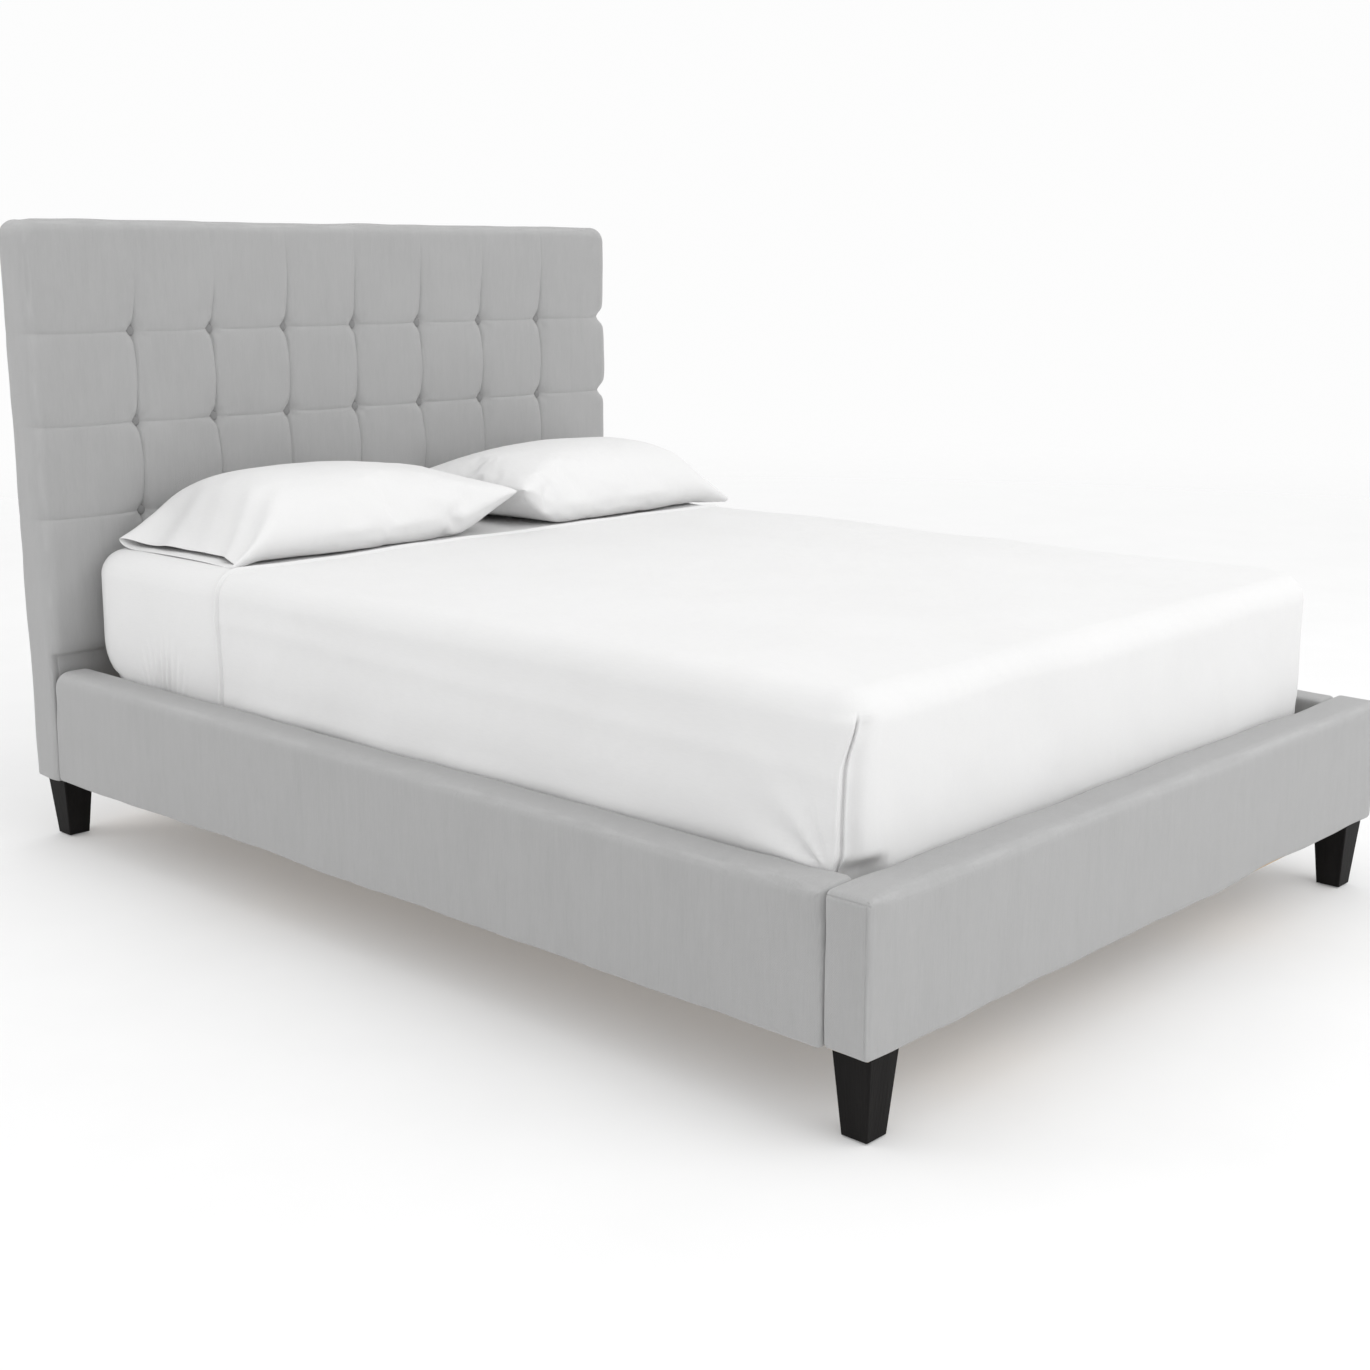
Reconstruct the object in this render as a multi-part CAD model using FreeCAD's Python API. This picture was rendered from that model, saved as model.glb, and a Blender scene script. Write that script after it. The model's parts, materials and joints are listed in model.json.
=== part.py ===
"""Upholstered platform bed with a biscuit-tufted headboard, a full-size mattress and its bedding.

Millimetres. The origin is on the floor at the centre of the bed's outline. +X is the right-hand side
seen from the foot, +Y points towards the headboard and +Z is up.
"""
import FreeCAD, Part
import math
import os

# ---- mattress and the room left round it
MATTRESS_WIDTH = 1372.0
MATTRESS_LENGTH = 1905.0
MATTRESS_HEIGHT = 305.0
MATTRESS_CORNER = 80.0
MATTRESS_TOP_EDGE = 38.0
MATTRESS_BOTTOM_EDGE = 25.0
MATTRESS_SIDE_GAP = 11.0
MATTRESS_FOOT_GAP = 12.0
MATTRESS_HEAD_GAP = 9.0
REST_GAP = 0.3
TICKING = 3.0
COMFORT_FOAM = 60.0
BASE_FOAM = 25.0
EDGE_FOAM = 75.0
SPRING_DIAMETER = 80.0
SPRING_WALL = 2.0
SPRING_PITCH = 100.0
SPRING_GAP = 1.0

# ---- upholstery
COVER = 2.0
BACK_CLOTH = 1.0
PANEL = 9.0
FRAME_DEPTH = 36.0
MEMBER_WIDTH = 70.0
BOTTOM_RAIL_HEIGHT = 60.0
BOTTOM_RAIL_DEPTH = 66.0

# ---- headboard
HEADBOARD_HEIGHT = 1214.0
HEADBOARD_OVERHANG = 2.0
HEADBOARD_FOAM = 44.0
HEADBOARD_SIDE_FOAM = 10.0
HEADBOARD_LOWER_FOAM = 28.0
TUFTING_ABOVE_RAIL = 30.0
HEADBOARD_CORNER = 30.0
HEADBOARD_EDGE = 14.0
MID_RAIL_BELOW_ROW = 30.0
TUFT_COLUMNS = 7
TUFT_ROWS = 3
TUFT_PITCH_X = 181.0
TUFT_PITCH_Z = 177.0
TUFT_TOP_ROW_DROP = 212.0
CREASE_DEPTH = 12.0
CREASE_HALF_WIDTH = 18.0
CREASE_FADE = 60.0
BUTTON_DIAMETER = 20.0
BUTTON_THICKNESS = 6.0
BUTTON_ROUNDING = 3.6
BUTTON_POCKET = 18.0
BUTTON_CLEARANCE = 2.0
TIE_DIAMETER = 3.0
ANCHOR_DIAMETER = 14.0
ANCHOR_THICKNESS = 3.0

# ---- footboard
FOOTBOARD_HEIGHT = 223.0
FOOTBOARD_FRONT_FOAM = 13.0
FOOTBOARD_INNER_FOAM = 16.0
FOOTBOARD_SIDE_FOAM = 10.0
FOOTBOARD_TOP_FOAM = 14.0
FOOTBOARD_TOP_RAIL = 40.0
FOOTBOARD_EDGE = 14.0

# ---- side rails
RAIL_HEIGHT = 223.0
RAIL_BOARD = 24.0
RAIL_OUTER_FOAM = 26.0
RAIL_INNER_FOAM = 14.0
RAIL_TOP_FOAM = 16.0
RAIL_OUTER_EDGE = 18.0
RAIL_INNER_EDGE = 9.0
INNER_FLAP_ABOVE_SLATS = 4.0

# ---- slats, ledgers and centre beam
SLAT_TOP_ABOVE_RAIL_BOTTOM = 153.0
SLAT_THICKNESS = 18.0
SLAT_WIDTH = 70.0
SLAT_COUNT = 13
SLAT_END_GAP = 7.0
SLAT_END_MARGIN = 28.0
STRAP_WIDTH = 30.0
STRAP_THICKNESS = 2.0
LEDGER_WIDTH = 45.0
LEDGER_HEIGHT = 40.0
BEAM_WIDTH = 38.0
BEAM_HEIGHT = 64.0
BEAM_BRACKET_STEEL = 2.0
BEAM_BRACKET_REACH = 50.0
BEAM_BRACKET_FLANGE = 14.0
BEAM_PLATE_BELOW_SCREW = 17.0

# ---- legs
LEG_HEIGHT = 127.0
LEG_TOP = 64.0
LEG_FOOT = 44.0
LEG_BEVEL = 2.5
LEG_FROM_SIDE = 50.0
LEG_PLATE_INSET = 3.0
LEG_PLATE = 2.0
GLIDE_DIAMETER = 24.0
GLIDE = 3.0
HANGER_BOLT_DIAMETER = 8.0
HANGER_BOLT_UP = 38.0
HANGER_BOLT_DOWN = 45.0

# ---- centre legs with levelling feet
CENTRE_LEG_SIZE = 44.0
CENTRE_LEG_SPREAD = 660.0
CENTRE_LEG_CLEAR = 20.0
STUD_DIAMETER = 8.0
STUD_BORE_GAP = 0.3
POST_BORE_GAP = 0.6
STUD_SOCKET_GAP = 0.08
STUD_LENGTH = 48.0
STUD_BORE_DEPTH = 60.0
STUD_HEX = 13.0
STUD_HEX_HEIGHT = 5.0
PAD_DIAMETER = 42.0
PAD_HEIGHT = 13.0
PAD_CHAMFER = 3.25
PAD_SOCKET_DEPTH = 8.0
FOOT_NUT_WALL = 2.7
FOOT_NUT_LENGTH = 16.0

# ---- corner brackets, bolts and screws
BRACKET_STEEL = 3.0
BRACKET_LENGTH = 70.0
BRACKET_HEIGHT = 46.0
BRACKET_ABOVE_BOTTOM = 8.0
BRACKET_INWARD = 52.0
BOLT_DIAMETER = 8.0
BOLT_LENGTH = 40.0
BOLT_HEAD = 13.0
BOLT_HEAD_HEIGHT = 5.3
BOLT_PITCH = 24.0
BOLT_FROM_BOARD = 28.0
INSERT_WALL = 2.25
INSERT_LENGTH = 18.0
INSERT_SET_IN = 3.0
SCREW_DIAMETER = 4.5
SCREW_HEAD = 9.0
SCREW_HEAD_HEIGHT = 2.6
LEDGER_SCREWS = 7
LEDGER_SCREW_INTO_BOARD = 18.0
BRACKET_SCREW_LENGTH = 20.0
BRACKET_SCREW_PITCH = 26.0
BEAM_SCREW_LENGTH = 36.0
HARDWARE_CLEARANCE = 0.25

# ---- bedding
SHEET = 1.0
FLAT_SHEET_FROM_HEAD = 449.0
PILLOW_THICKNESS = 154.4
PILLOW_FROM_HEAD = 25.0
PILLOW_DEPTH = 430.0
PILLOWCASE = 2.0
PILLOW_MIDDLE_GAP = 9.0
PILLOW_SHIFT = 55.0
LEFT_CASE_INSIDE_MATTRESS = 31.0
RIGHT_CASE_PAST_MATTRESS = 49.0
CASE_FLAP = 78.0
PILLOW_RING_CORNER = 55.0
PILLOW_TOP_CORNER_SHARE = 0.5
# how each level of a pillow is drawn in: (share of its height, inset as a share of its depth)
PILLOW_LEVELS = [(0.0, 0.17), (0.10, 0.05), (0.32, 0.0), (0.62, 0.09), (0.86, 0.22), (1.0, 0.38)]

# ---- aids for picking edges and running cuts past a face
SAME_PLACE = 1e-6
OVERRUN = 1.0
HEXAGON_SIDES = 6

# ---- levels and planes that follow from the sizes above
INNER_X = MATTRESS_WIDTH / 2 + MATTRESS_SIDE_GAP
RAIL_WIDTH = RAIL_BOARD + RAIL_OUTER_FOAM + RAIL_INNER_FOAM + 2 * COVER
OUTER_X = INNER_X + RAIL_WIDTH
BOARD_INNER_X = INNER_X + COVER + RAIL_INNER_FOAM
BOARD_OUTER_X = BOARD_INNER_X + RAIL_BOARD
HEADBOARD_X = OUTER_X + HEADBOARD_OVERHANG
HEADBOARD_FRAME_X = HEADBOARD_X - COVER - HEADBOARD_SIDE_FOAM
FOOTBOARD_FRAME_X = OUTER_X - COVER - FOOTBOARD_SIDE_FOAM

FOOTBOARD_DEPTH = 2 * COVER + FOOTBOARD_FRONT_FOAM + PANEL + FRAME_DEPTH + FOOTBOARD_INNER_FOAM
HEADBOARD_DEPTH = COVER + HEADBOARD_FOAM + PANEL + FRAME_DEPTH + BACK_CLOTH
BED_LENGTH = (FOOTBOARD_DEPTH + MATTRESS_FOOT_GAP + MATTRESS_LENGTH + MATTRESS_HEAD_GAP
              + HEADBOARD_DEPTH)
FOOT_Y = -BED_LENGTH / 2
HEAD_Y = BED_LENGTH / 2
FOOTBOARD_INNER_Y = FOOT_Y + FOOTBOARD_DEPTH
MATTRESS_FOOT_Y = FOOTBOARD_INNER_Y + MATTRESS_FOOT_GAP
MATTRESS_HEAD_Y = MATTRESS_FOOT_Y + MATTRESS_LENGTH
CREST_Y = HEAD_Y - HEADBOARD_DEPTH
FRAME_BACK_Y = HEAD_Y - BACK_CLOTH
FRAME_FRONT_Y = FRAME_BACK_Y - FRAME_DEPTH
PANEL_FRONT_Y = FRAME_FRONT_Y - PANEL
LOWER_STRIP_Y = PANEL_FRONT_Y - HEADBOARD_LOWER_FOAM - COVER
HEAD_RAIL_FRONT_Y = FRAME_BACK_Y - BOTTOM_RAIL_DEPTH
FOOT_PANEL_FRONT_Y = FOOT_Y + COVER + FOOTBOARD_FRONT_FOAM
FOOT_FRAME_FRONT_Y = FOOT_PANEL_FRONT_Y + PANEL
FOOT_FRAME_BACK_Y = FOOT_FRAME_FRONT_Y + FRAME_DEPTH
FOOT_RAIL_BACK_Y = FOOTBOARD_INNER_Y - 2 * COVER
FOOT_RAIL_FRONT_Y = FOOT_RAIL_BACK_Y - BOTTOM_RAIL_DEPTH

RAIL_TOP_Z = LEG_HEIGHT + RAIL_HEIGHT
HEADBOARD_TUFTED_FROM = RAIL_TOP_Z + TUFTING_ABOVE_RAIL
SLAT_TOP = LEG_HEIGHT + SLAT_TOP_ABOVE_RAIL_BOTTOM
FOOTBOARD_TOP_Z = LEG_HEIGHT + FOOTBOARD_HEIGHT
BOTTOM_RAIL_TOP_Z = LEG_HEIGHT + BOTTOM_RAIL_HEIGHT
LEDGER_TOP_Z = SLAT_TOP - SLAT_THICKNESS
FLAP_BOTTOM_Z = SLAT_TOP + INNER_FLAP_ABOVE_SLATS
HEADBOARD_FRAME_TOP_Z = HEADBOARD_HEIGHT - COVER - HEADBOARD_SIDE_FOAM
TOP_ROW_Z = HEADBOARD_HEIGHT - TUFT_TOP_ROW_DROP
TUFT_ROW_Z = [TOP_ROW_Z - TUFT_PITCH_Z * row for row in range(TUFT_ROWS)]
TUFT_COLUMN_X = [TUFT_PITCH_X * (column - (TUFT_COLUMNS - 1) / 2) for column in range(TUFT_COLUMNS)]
BUTTON_SEAT_Y = CREST_Y + BUTTON_POCKET
MATTRESS_BOTTOM_Z = SLAT_TOP + REST_GAP
MATTRESS_TOP_Z = MATTRESS_BOTTOM_Z + MATTRESS_HEIGHT
LEG_X = OUTER_X - LEG_FROM_SIDE
HEAD_LEG_Y = (HEAD_RAIL_FRONT_Y + FRAME_BACK_Y) / 2
FOOT_LEG_Y = (FOOT_RAIL_FRONT_Y + FOOT_RAIL_BACK_Y) / 2
BEAM_BOTTOM_Z = LEDGER_TOP_Z - BEAM_HEIGHT
INSERT_BORE = BOLT_DIAMETER + 2 * HARDWARE_CLEARANCE
INSERT_DIAMETER = INSERT_BORE + 2 * INSERT_WALL
FOOT_NUT_BORE = STUD_DIAMETER + 2 * STUD_BORE_GAP
FOOT_NUT_DIAMETER = FOOT_NUT_BORE + 2 * FOOT_NUT_WALL


def vector(x, y, z):
    return FreeCAD.Vector(x, y, z)


X_AXIS = vector(1, 0, 0)
Y_AXIS = vector(0, 1, 0)
Z_AXIS = vector(0, 0, 1)


def box(x0, x1, y0, y1, z0, z1):
    return Part.makeBox(x1 - x0, y1 - y0, z1 - z0, vector(x0, y0, z0))


def rod(diameter, length, start, axis):
    return Part.makeCylinder(diameter / 2, length, start, axis)


def tube(outer, inner, length, start, axis):
    return rod(outer, length, start, axis).cut(rod(inner, length, start, axis))


def hexagon(across_flats, length, start, axis):
    """Hexagonal bar from start along axis."""
    side = axis.cross(X_AXIS) if abs(axis.x) < 0.5 else axis.cross(Y_AXIS)
    other = axis.cross(side)
    radius = across_flats / math.sqrt(3)
    points = []
    for corner in range(HEXAGON_SIDES + 1):
        angle = 2 * math.pi * corner / HEXAGON_SIDES
        points.append(start + side * (radius * math.cos(angle)) + other * (radius * math.sin(angle)))
    return Part.Face(Part.makePolygon(points)).extrude(axis * length)


def mirrored(shape):
    """The same piece on the other side of the bed."""
    return shape.mirror(vector(0, 0, 0), X_AXIS)


def edges_along(shape, axis, wanted):
    """Straight edges parallel to axis whose middle point passes the test."""
    found = []
    for edge in shape.Edges:
        if len(edge.Vertexes) != 2:
            continue
        span = edge.Vertexes[1].Point - edge.Vertexes[0].Point
        if span.Length < SAME_PLACE or abs(abs(span.normalize().dot(axis)) - 1) > SAME_PLACE:
            continue
        if wanted(edge.CenterOfMass):
            found.append(edge)
    return found


def level_edges(shape, z):
    """All the edges that lie at height z."""
    return [edge for edge in shape.Edges
            if abs(edge.BoundBox.ZMin - z) < SAME_PLACE and abs(edge.BoundBox.ZMax - z) < SAME_PLACE]


def ring(x0, x1, y0, y1, z, radius):
    """Closed rounded rectangle at height z."""
    cut = radius * (1 - math.sqrt(0.5))
    corners = [((x1 - radius, y0), (x1 - cut, y0 + cut), (x1, y0 + radius)),
               ((x1, y1 - radius), (x1 - cut, y1 - cut), (x1 - radius, y1)),
               ((x0 + radius, y1), (x0 + cut, y1 - cut), (x0, y1 - radius)),
               ((x0, y0 + radius), (x0 + cut, y0 + cut), (x0 + radius, y0))]
    edges = []
    for index, corner in enumerate(corners):
        start, middle, end = [vector(px, py, z) for px, py in corner]
        edges.append(Part.Arc(start, middle, end).toShape())
        after = vector(*corners[(index + 1) % 4][0], z)
        edges.append(Part.LineSegment(end, after).toShape())
    return Part.Wire(edges)


def fused(shapes):
    result = shapes[0]
    for shape in shapes[1:]:
        result = result.fuse(shape)
    return result.removeSplitter()


# ------------------------------------------------------------------ headboard

def tuft_points():
    return [(x, z) for z in TUFT_ROW_Z for x in TUFT_COLUMN_X]


def crease(start, end, across, floor_y):
    """Triangular prism along a crease: it opens at the crest and narrows to floor_y."""
    mouth_y = floor_y - CREASE_DEPTH
    side = across * CREASE_HALF_WIDTH
    left = vector(start.x - side.x, mouth_y, start.z - side.z)
    right = vector(start.x + side.x, mouth_y, start.z + side.z)
    floor = vector(start.x, floor_y, start.z)
    return Part.Face(Part.makePolygon([left, right, floor, left])).extrude(end - start)


def padded_form(inset):
    """Outer form of the tufted pad and the flat strip under it, moved in by inset."""
    half = HEADBOARD_X - inset
    front = CREST_Y + inset
    top = HEADBOARD_HEIGHT - inset
    pad = box(-half, half, front, FRAME_BACK_Y, HEADBOARD_TUFTED_FROM + inset, top)
    corners = edges_along(pad, Y_AXIS, lambda point: abs(point.z - top) < SAME_PLACE)
    pad = pad.makeFillet(HEADBOARD_CORNER - inset, corners)
    above = HEADBOARD_TUFTED_FROM + inset + OVERRUN
    rims = [edge for edge in pad.Edges
            if edge.BoundBox.YMax < front + SAME_PLACE and edge.BoundBox.ZMax > above]
    pad = pad.makeFillet(HEADBOARD_EDGE - inset, rims)
    floor_y = front + CREASE_DEPTH
    for z in TUFT_ROW_Z:
        start = vector(-half - OVERRUN, 0, z)
        pad = pad.cut(crease(start, vector(half + OVERRUN, 0, z), Z_AXIS, floor_y))
    crease_top = HEADBOARD_HEIGHT - CREASE_FADE
    for x in TUFT_COLUMN_X:
        pad = pad.cut(crease(vector(x, 0, TUFT_ROW_Z[-1]), vector(x, 0, crease_top), X_AXIS, floor_y))
    pocket = BUTTON_DIAMETER + 2 * BUTTON_CLEARANCE + 2 * inset
    for x, z in tuft_points():
        pad = pad.cut(rod(pocket, BUTTON_POCKET, vector(x, front, z), Y_AXIS))
    strip = box(-half, half, LOWER_STRIP_Y + inset, FRAME_BACK_Y, LEG_HEIGHT, HEADBOARD_TUFTED_FROM + inset)
    return pad.fuse(strip).removeSplitter()


def headboard_core():
    """Room that the frame, the panel and the deep bottom rail take up behind the foam."""
    upper = box(-HEADBOARD_FRAME_X, HEADBOARD_FRAME_X, PANEL_FRONT_Y, FRAME_BACK_Y,
                BOTTOM_RAIL_TOP_Z, HEADBOARD_FRAME_TOP_Z)
    lower = box(-HEADBOARD_FRAME_X, HEADBOARD_FRAME_X, HEAD_RAIL_FRONT_Y, FRAME_BACK_Y,
                LEG_HEIGHT, BOTTOM_RAIL_TOP_Z)
    return upper.fuse(lower)


def button_ties():
    start = BUTTON_SEAT_Y
    length = FRAME_FRONT_Y - start
    return [rod(TIE_DIAMETER, length, vector(x, start, z), Y_AXIS) for x, z in tuft_points()]


def build_headboard(nodes):
    ties = Part.makeCompound(button_ties())
    bolts = Part.makeCompound(head_bolt_holes() + beam_screw_shapes(HARDWARE_CLEARANCE))
    inner_form = padded_form(COVER)
    nodes["headboard_cover"] = padded_form(0.0).cut(inner_form).cut(ties).cut(bolts)
    foam = inner_form.cut(headboard_core()).cut(ties).cut(bolts)
    split = HEADBOARD_TUFTED_FROM + COVER
    above = box(-2 * HEADBOARD_X, 2 * HEADBOARD_X, 0, 2 * HEAD_Y, split, 2 * HEADBOARD_HEIGHT)
    nodes["headboard_foam"] = foam.common(above)
    nodes["headboard_lower_foam"] = foam.cut(above)
    panel = box(-HEADBOARD_FRAME_X, HEADBOARD_FRAME_X, PANEL_FRONT_Y, FRAME_FRONT_Y,
                BOTTOM_RAIL_TOP_Z, HEADBOARD_FRAME_TOP_Z)
    nodes["headboard_panel"] = panel.cut(ties)
    stile = box(HEADBOARD_FRAME_X - MEMBER_WIDTH, HEADBOARD_FRAME_X, FRAME_FRONT_Y, FRAME_BACK_Y,
                BOTTOM_RAIL_TOP_Z, HEADBOARD_FRAME_TOP_Z)
    nodes["headboard_stile_right"] = stile
    nodes["headboard_stile_left"] = mirrored(stile)
    between = HEADBOARD_FRAME_X - MEMBER_WIDTH
    nodes["headboard_top_rail"] = box(-between, between, FRAME_FRONT_Y, FRAME_BACK_Y,
                                      HEADBOARD_FRAME_TOP_Z - MEMBER_WIDTH, HEADBOARD_FRAME_TOP_Z)
    mid_top = TUFT_ROW_Z[1] - MID_RAIL_BELOW_ROW
    nodes["headboard_mid_rail"] = box(-between, between, FRAME_FRONT_Y, FRAME_BACK_Y,
                                      mid_top - MEMBER_WIDTH, mid_top)
    bottom = box(-HEADBOARD_FRAME_X, HEADBOARD_FRAME_X, HEAD_RAIL_FRONT_Y, FRAME_BACK_Y,
                 LEG_HEIGHT, BOTTOM_RAIL_TOP_Z)
    bottom = bottom.cut(bolts).cut(Part.makeCompound(head_inserts_solid()))
    nodes["headboard_bottom_rail"] = bottom.cut(Part.makeCompound(hanger_bolts(HARDWARE_CLEARANCE)))
    nodes["headboard_back_cloth"] = box(-HEADBOARD_FRAME_X, HEADBOARD_FRAME_X, FRAME_BACK_Y, HEAD_Y,
                                        LEG_HEIGHT, HEADBOARD_FRAME_TOP_Z)
    nodes["headboard_button_ties"] = ties
    nodes["headboard_buttons"] = Part.makeCompound([button(x, z) for x, z in tuft_points()])
    nodes["headboard_tie_anchors"] = Part.makeCompound(
        [rod(ANCHOR_DIAMETER, ANCHOR_THICKNESS, vector(x, FRAME_FRONT_Y, z), Y_AXIS)
         for x, z in tuft_points()])


def button(x, z):
    """Covered button that sits on the bottom of its pocket."""
    body = rod(BUTTON_DIAMETER, BUTTON_THICKNESS, vector(x, BUTTON_SEAT_Y - BUTTON_THICKNESS, z), Y_AXIS)
    front = [edge for edge in body.Edges
             if edge.BoundBox.YMax < BUTTON_SEAT_Y - BUTTON_THICKNESS + SAME_PLACE]
    return body.makeFillet(BUTTON_ROUNDING, front)


# ------------------------------------------------------------------ footboard

def footboard_form(inset):
    form = box(-OUTER_X + inset, OUTER_X - inset, FOOT_Y + inset, FOOTBOARD_INNER_Y - inset,
               LEG_HEIGHT, FOOTBOARD_TOP_Z - inset)
    return form.makeFillet(FOOTBOARD_EDGE - inset, level_edges(form, FOOTBOARD_TOP_Z - inset))


def build_footboard(nodes):
    holes = Part.makeCompound(foot_bolt_holes() + beam_screw_shapes(HARDWARE_CLEARANCE))
    half = FOOTBOARD_FRAME_X
    top = FOOTBOARD_TOP_Z - COVER - FOOTBOARD_TOP_FOAM
    core = box(-half, half, FOOT_PANEL_FRONT_Y, FOOT_FRAME_BACK_Y, BOTTOM_RAIL_TOP_Z, top)
    bottom = box(-half, half, FOOT_RAIL_FRONT_Y, FOOT_RAIL_BACK_Y, LEG_HEIGHT, BOTTOM_RAIL_TOP_Z)
    inner_form = footboard_form(COVER)
    nodes["footboard_cover"] = footboard_form(0.0).cut(inner_form).cut(holes)
    nodes["footboard_foam"] = inner_form.cut(core.fuse(bottom)).cut(holes)
    bottom = bottom.cut(holes).cut(Part.makeCompound(foot_inserts_solid()))
    nodes["footboard_bottom_rail"] = bottom.cut(Part.makeCompound(hanger_bolts(HARDWARE_CLEARANCE)))
    nodes["footboard_panel"] = box(-half, half, FOOT_PANEL_FRONT_Y, FOOT_FRAME_FRONT_Y,
                                   BOTTOM_RAIL_TOP_Z, top)
    nodes["footboard_top_rail"] = box(-half, half, FOOT_FRAME_FRONT_Y, FOOT_FRAME_BACK_Y,
                                      top - FOOTBOARD_TOP_RAIL, top)
    post = box(half - MEMBER_WIDTH, half, FOOT_FRAME_FRONT_Y, FOOT_FRAME_BACK_Y,
               BOTTOM_RAIL_TOP_Z, top - FOOTBOARD_TOP_RAIL)
    nodes["footboard_posts"] = Part.makeCompound([post, mirrored(post)])


# ------------------------------------------------------------------ side rails

def rail_form(inset):
    """Outer form of the right-hand rail, moved in by inset at the sides and the top."""
    top = RAIL_TOP_Z - inset
    form = box(INNER_X + inset, OUTER_X - inset, FOOTBOARD_INNER_Y, LOWER_STRIP_Y, LEG_HEIGHT, top)
    outer = edges_along(
        form, Y_AXIS, lambda point: point.z > top - OVERRUN and point.x > OUTER_X - inset - OVERRUN)
    form = form.makeFillet(RAIL_OUTER_EDGE - inset, outer)
    inner = edges_along(
        form, Y_AXIS, lambda point: point.z > top - OVERRUN and point.x < INNER_X + inset + OVERRUN)
    return form.makeFillet(RAIL_INNER_EDGE - inset, inner)


def rail_screws(grow):
    """Screws that hold the ledger and the corner brackets to the right-hand board."""
    shapes = []
    middle = (LEDGER_TOP_Z + LEDGER_TOP_Z - LEDGER_HEIGHT) / 2
    run = LOWER_STRIP_Y - FOOTBOARD_INNER_Y
    for index in range(LEDGER_SCREWS):
        y = FOOTBOARD_INNER_Y + run * (index + 0.5) / LEDGER_SCREWS
        start = vector(BOARD_INNER_X - LEDGER_WIDTH, y, middle)
        shapes.append(wood_screw(start, X_AXIS, LEDGER_WIDTH + LEDGER_SCREW_INTO_BOARD, grow))
    for end_y, way in bracket_ends():
        for step in (1, 2):
            y = end_y + way * (BRACKET_SCREW_PITCH * step)
            start = vector(BOARD_INNER_X - BRACKET_STEEL, y, bracket_middle_z())
            shapes.append(wood_screw(start, X_AXIS, BRACKET_SCREW_LENGTH, grow))
    return shapes


def wood_screw(start, axis, length, grow):
    """Countersunk screw whose flat head is flush with start."""
    head = Part.makeCone(SCREW_HEAD / 2 + grow, SCREW_DIAMETER / 2 + grow, SCREW_HEAD_HEIGHT, start, axis)
    return head.fuse(rod(SCREW_DIAMETER + 2 * grow, length, start, axis)).removeSplitter()


def build_rails(nodes):
    board = box(BOARD_INNER_X, BOARD_OUTER_X, FOOTBOARD_INNER_Y, LOWER_STRIP_Y,
                LEG_HEIGHT + COVER, RAIL_TOP_Z - COVER - RAIL_TOP_FOAM)
    under_flap = box(0, BOARD_INNER_X, FOOTBOARD_INNER_Y, LOWER_STRIP_Y, 0, FLAP_BOTTOM_Z)
    inner_form = rail_form(COVER)
    foam_room = inner_form.cut(box(0, 2 * OUTER_X, FOOTBOARD_INNER_Y, LOWER_STRIP_Y, 0, LEG_HEIGHT + COVER))
    cover = rail_form(0.0).cut(foam_room).cut(under_flap)
    foam = foam_room.cut(board).cut(under_flap)
    screws = Part.makeCompound(rail_screws(0.0))
    ledger = box(BOARD_INNER_X - LEDGER_WIDTH, BOARD_INNER_X, FOOTBOARD_INNER_Y, LOWER_STRIP_Y,
                 LEDGER_TOP_Z - LEDGER_HEIGHT, LEDGER_TOP_Z)
    right = {"board": board.cut(screws), "foam": foam, "cover": cover, "ledger": ledger.cut(screws)}
    for part, shape in right.items():
        nodes["side_rail_" + part + "_right"] = shape
        nodes["side_rail_" + part + "_left"] = mirrored(shape)


# ------------------------------------------------------------------ corner hardware

def bracket_ends():
    """The y of each rail end and the way along the rail from it."""
    return [(LOWER_STRIP_Y, -1), (FOOTBOARD_INNER_Y, 1)]


def bracket_middle_z():
    return LEG_HEIGHT + BRACKET_ABOVE_BOTTOM + BRACKET_HEIGHT / 2


def bracket_bolt_places():
    x = BOARD_INNER_X - BOLT_FROM_BOARD
    return [(x, bracket_middle_z() + BOLT_PITCH * side / 2) for side in (-1, 1)]


def bolt(x, end_y, way, z, grow):
    """Hexagon-head bolt whose head bears on the bracket; way is the way back along the rail."""
    axis = Y_AXIS * (-way)
    start = vector(x, end_y + way * BRACKET_STEEL, z)
    shank = rod(BOLT_DIAMETER + 2 * grow, BOLT_LENGTH, start, axis)
    return shank, hexagon(BOLT_HEAD, BOLT_HEAD_HEIGHT, start, axis * -1)


def bolt_holes(end_y, way):
    holes = []
    for x, z in bracket_bolt_places():
        shank = bolt(x, end_y, way, z, HARDWARE_CLEARANCE)[0]
        holes += [shank, mirrored(shank)]
    return holes


def head_bolt_holes():
    return bolt_holes(*bracket_ends()[0])


def foot_bolt_holes():
    return bolt_holes(*bracket_ends()[1])


def inserts(face_y, way, bored):
    """Threaded inserts set into a bottom rail behind its front face."""
    shapes = []
    for x, z in bracket_bolt_places():
        start = vector(x, face_y + way * INSERT_SET_IN, z)
        outer = rod(INSERT_DIAMETER, INSERT_LENGTH, start, Y_AXIS * way)
        if bored:
            outer = outer.cut(rod(INSERT_BORE, INSERT_LENGTH, start, Y_AXIS * way))
        shapes += [outer, mirrored(outer)]
    return shapes


def head_inserts_solid():
    return inserts(HEAD_RAIL_FRONT_Y, 1, False)


def foot_inserts_solid():
    return inserts(FOOT_RAIL_BACK_Y, -1, False)


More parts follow.
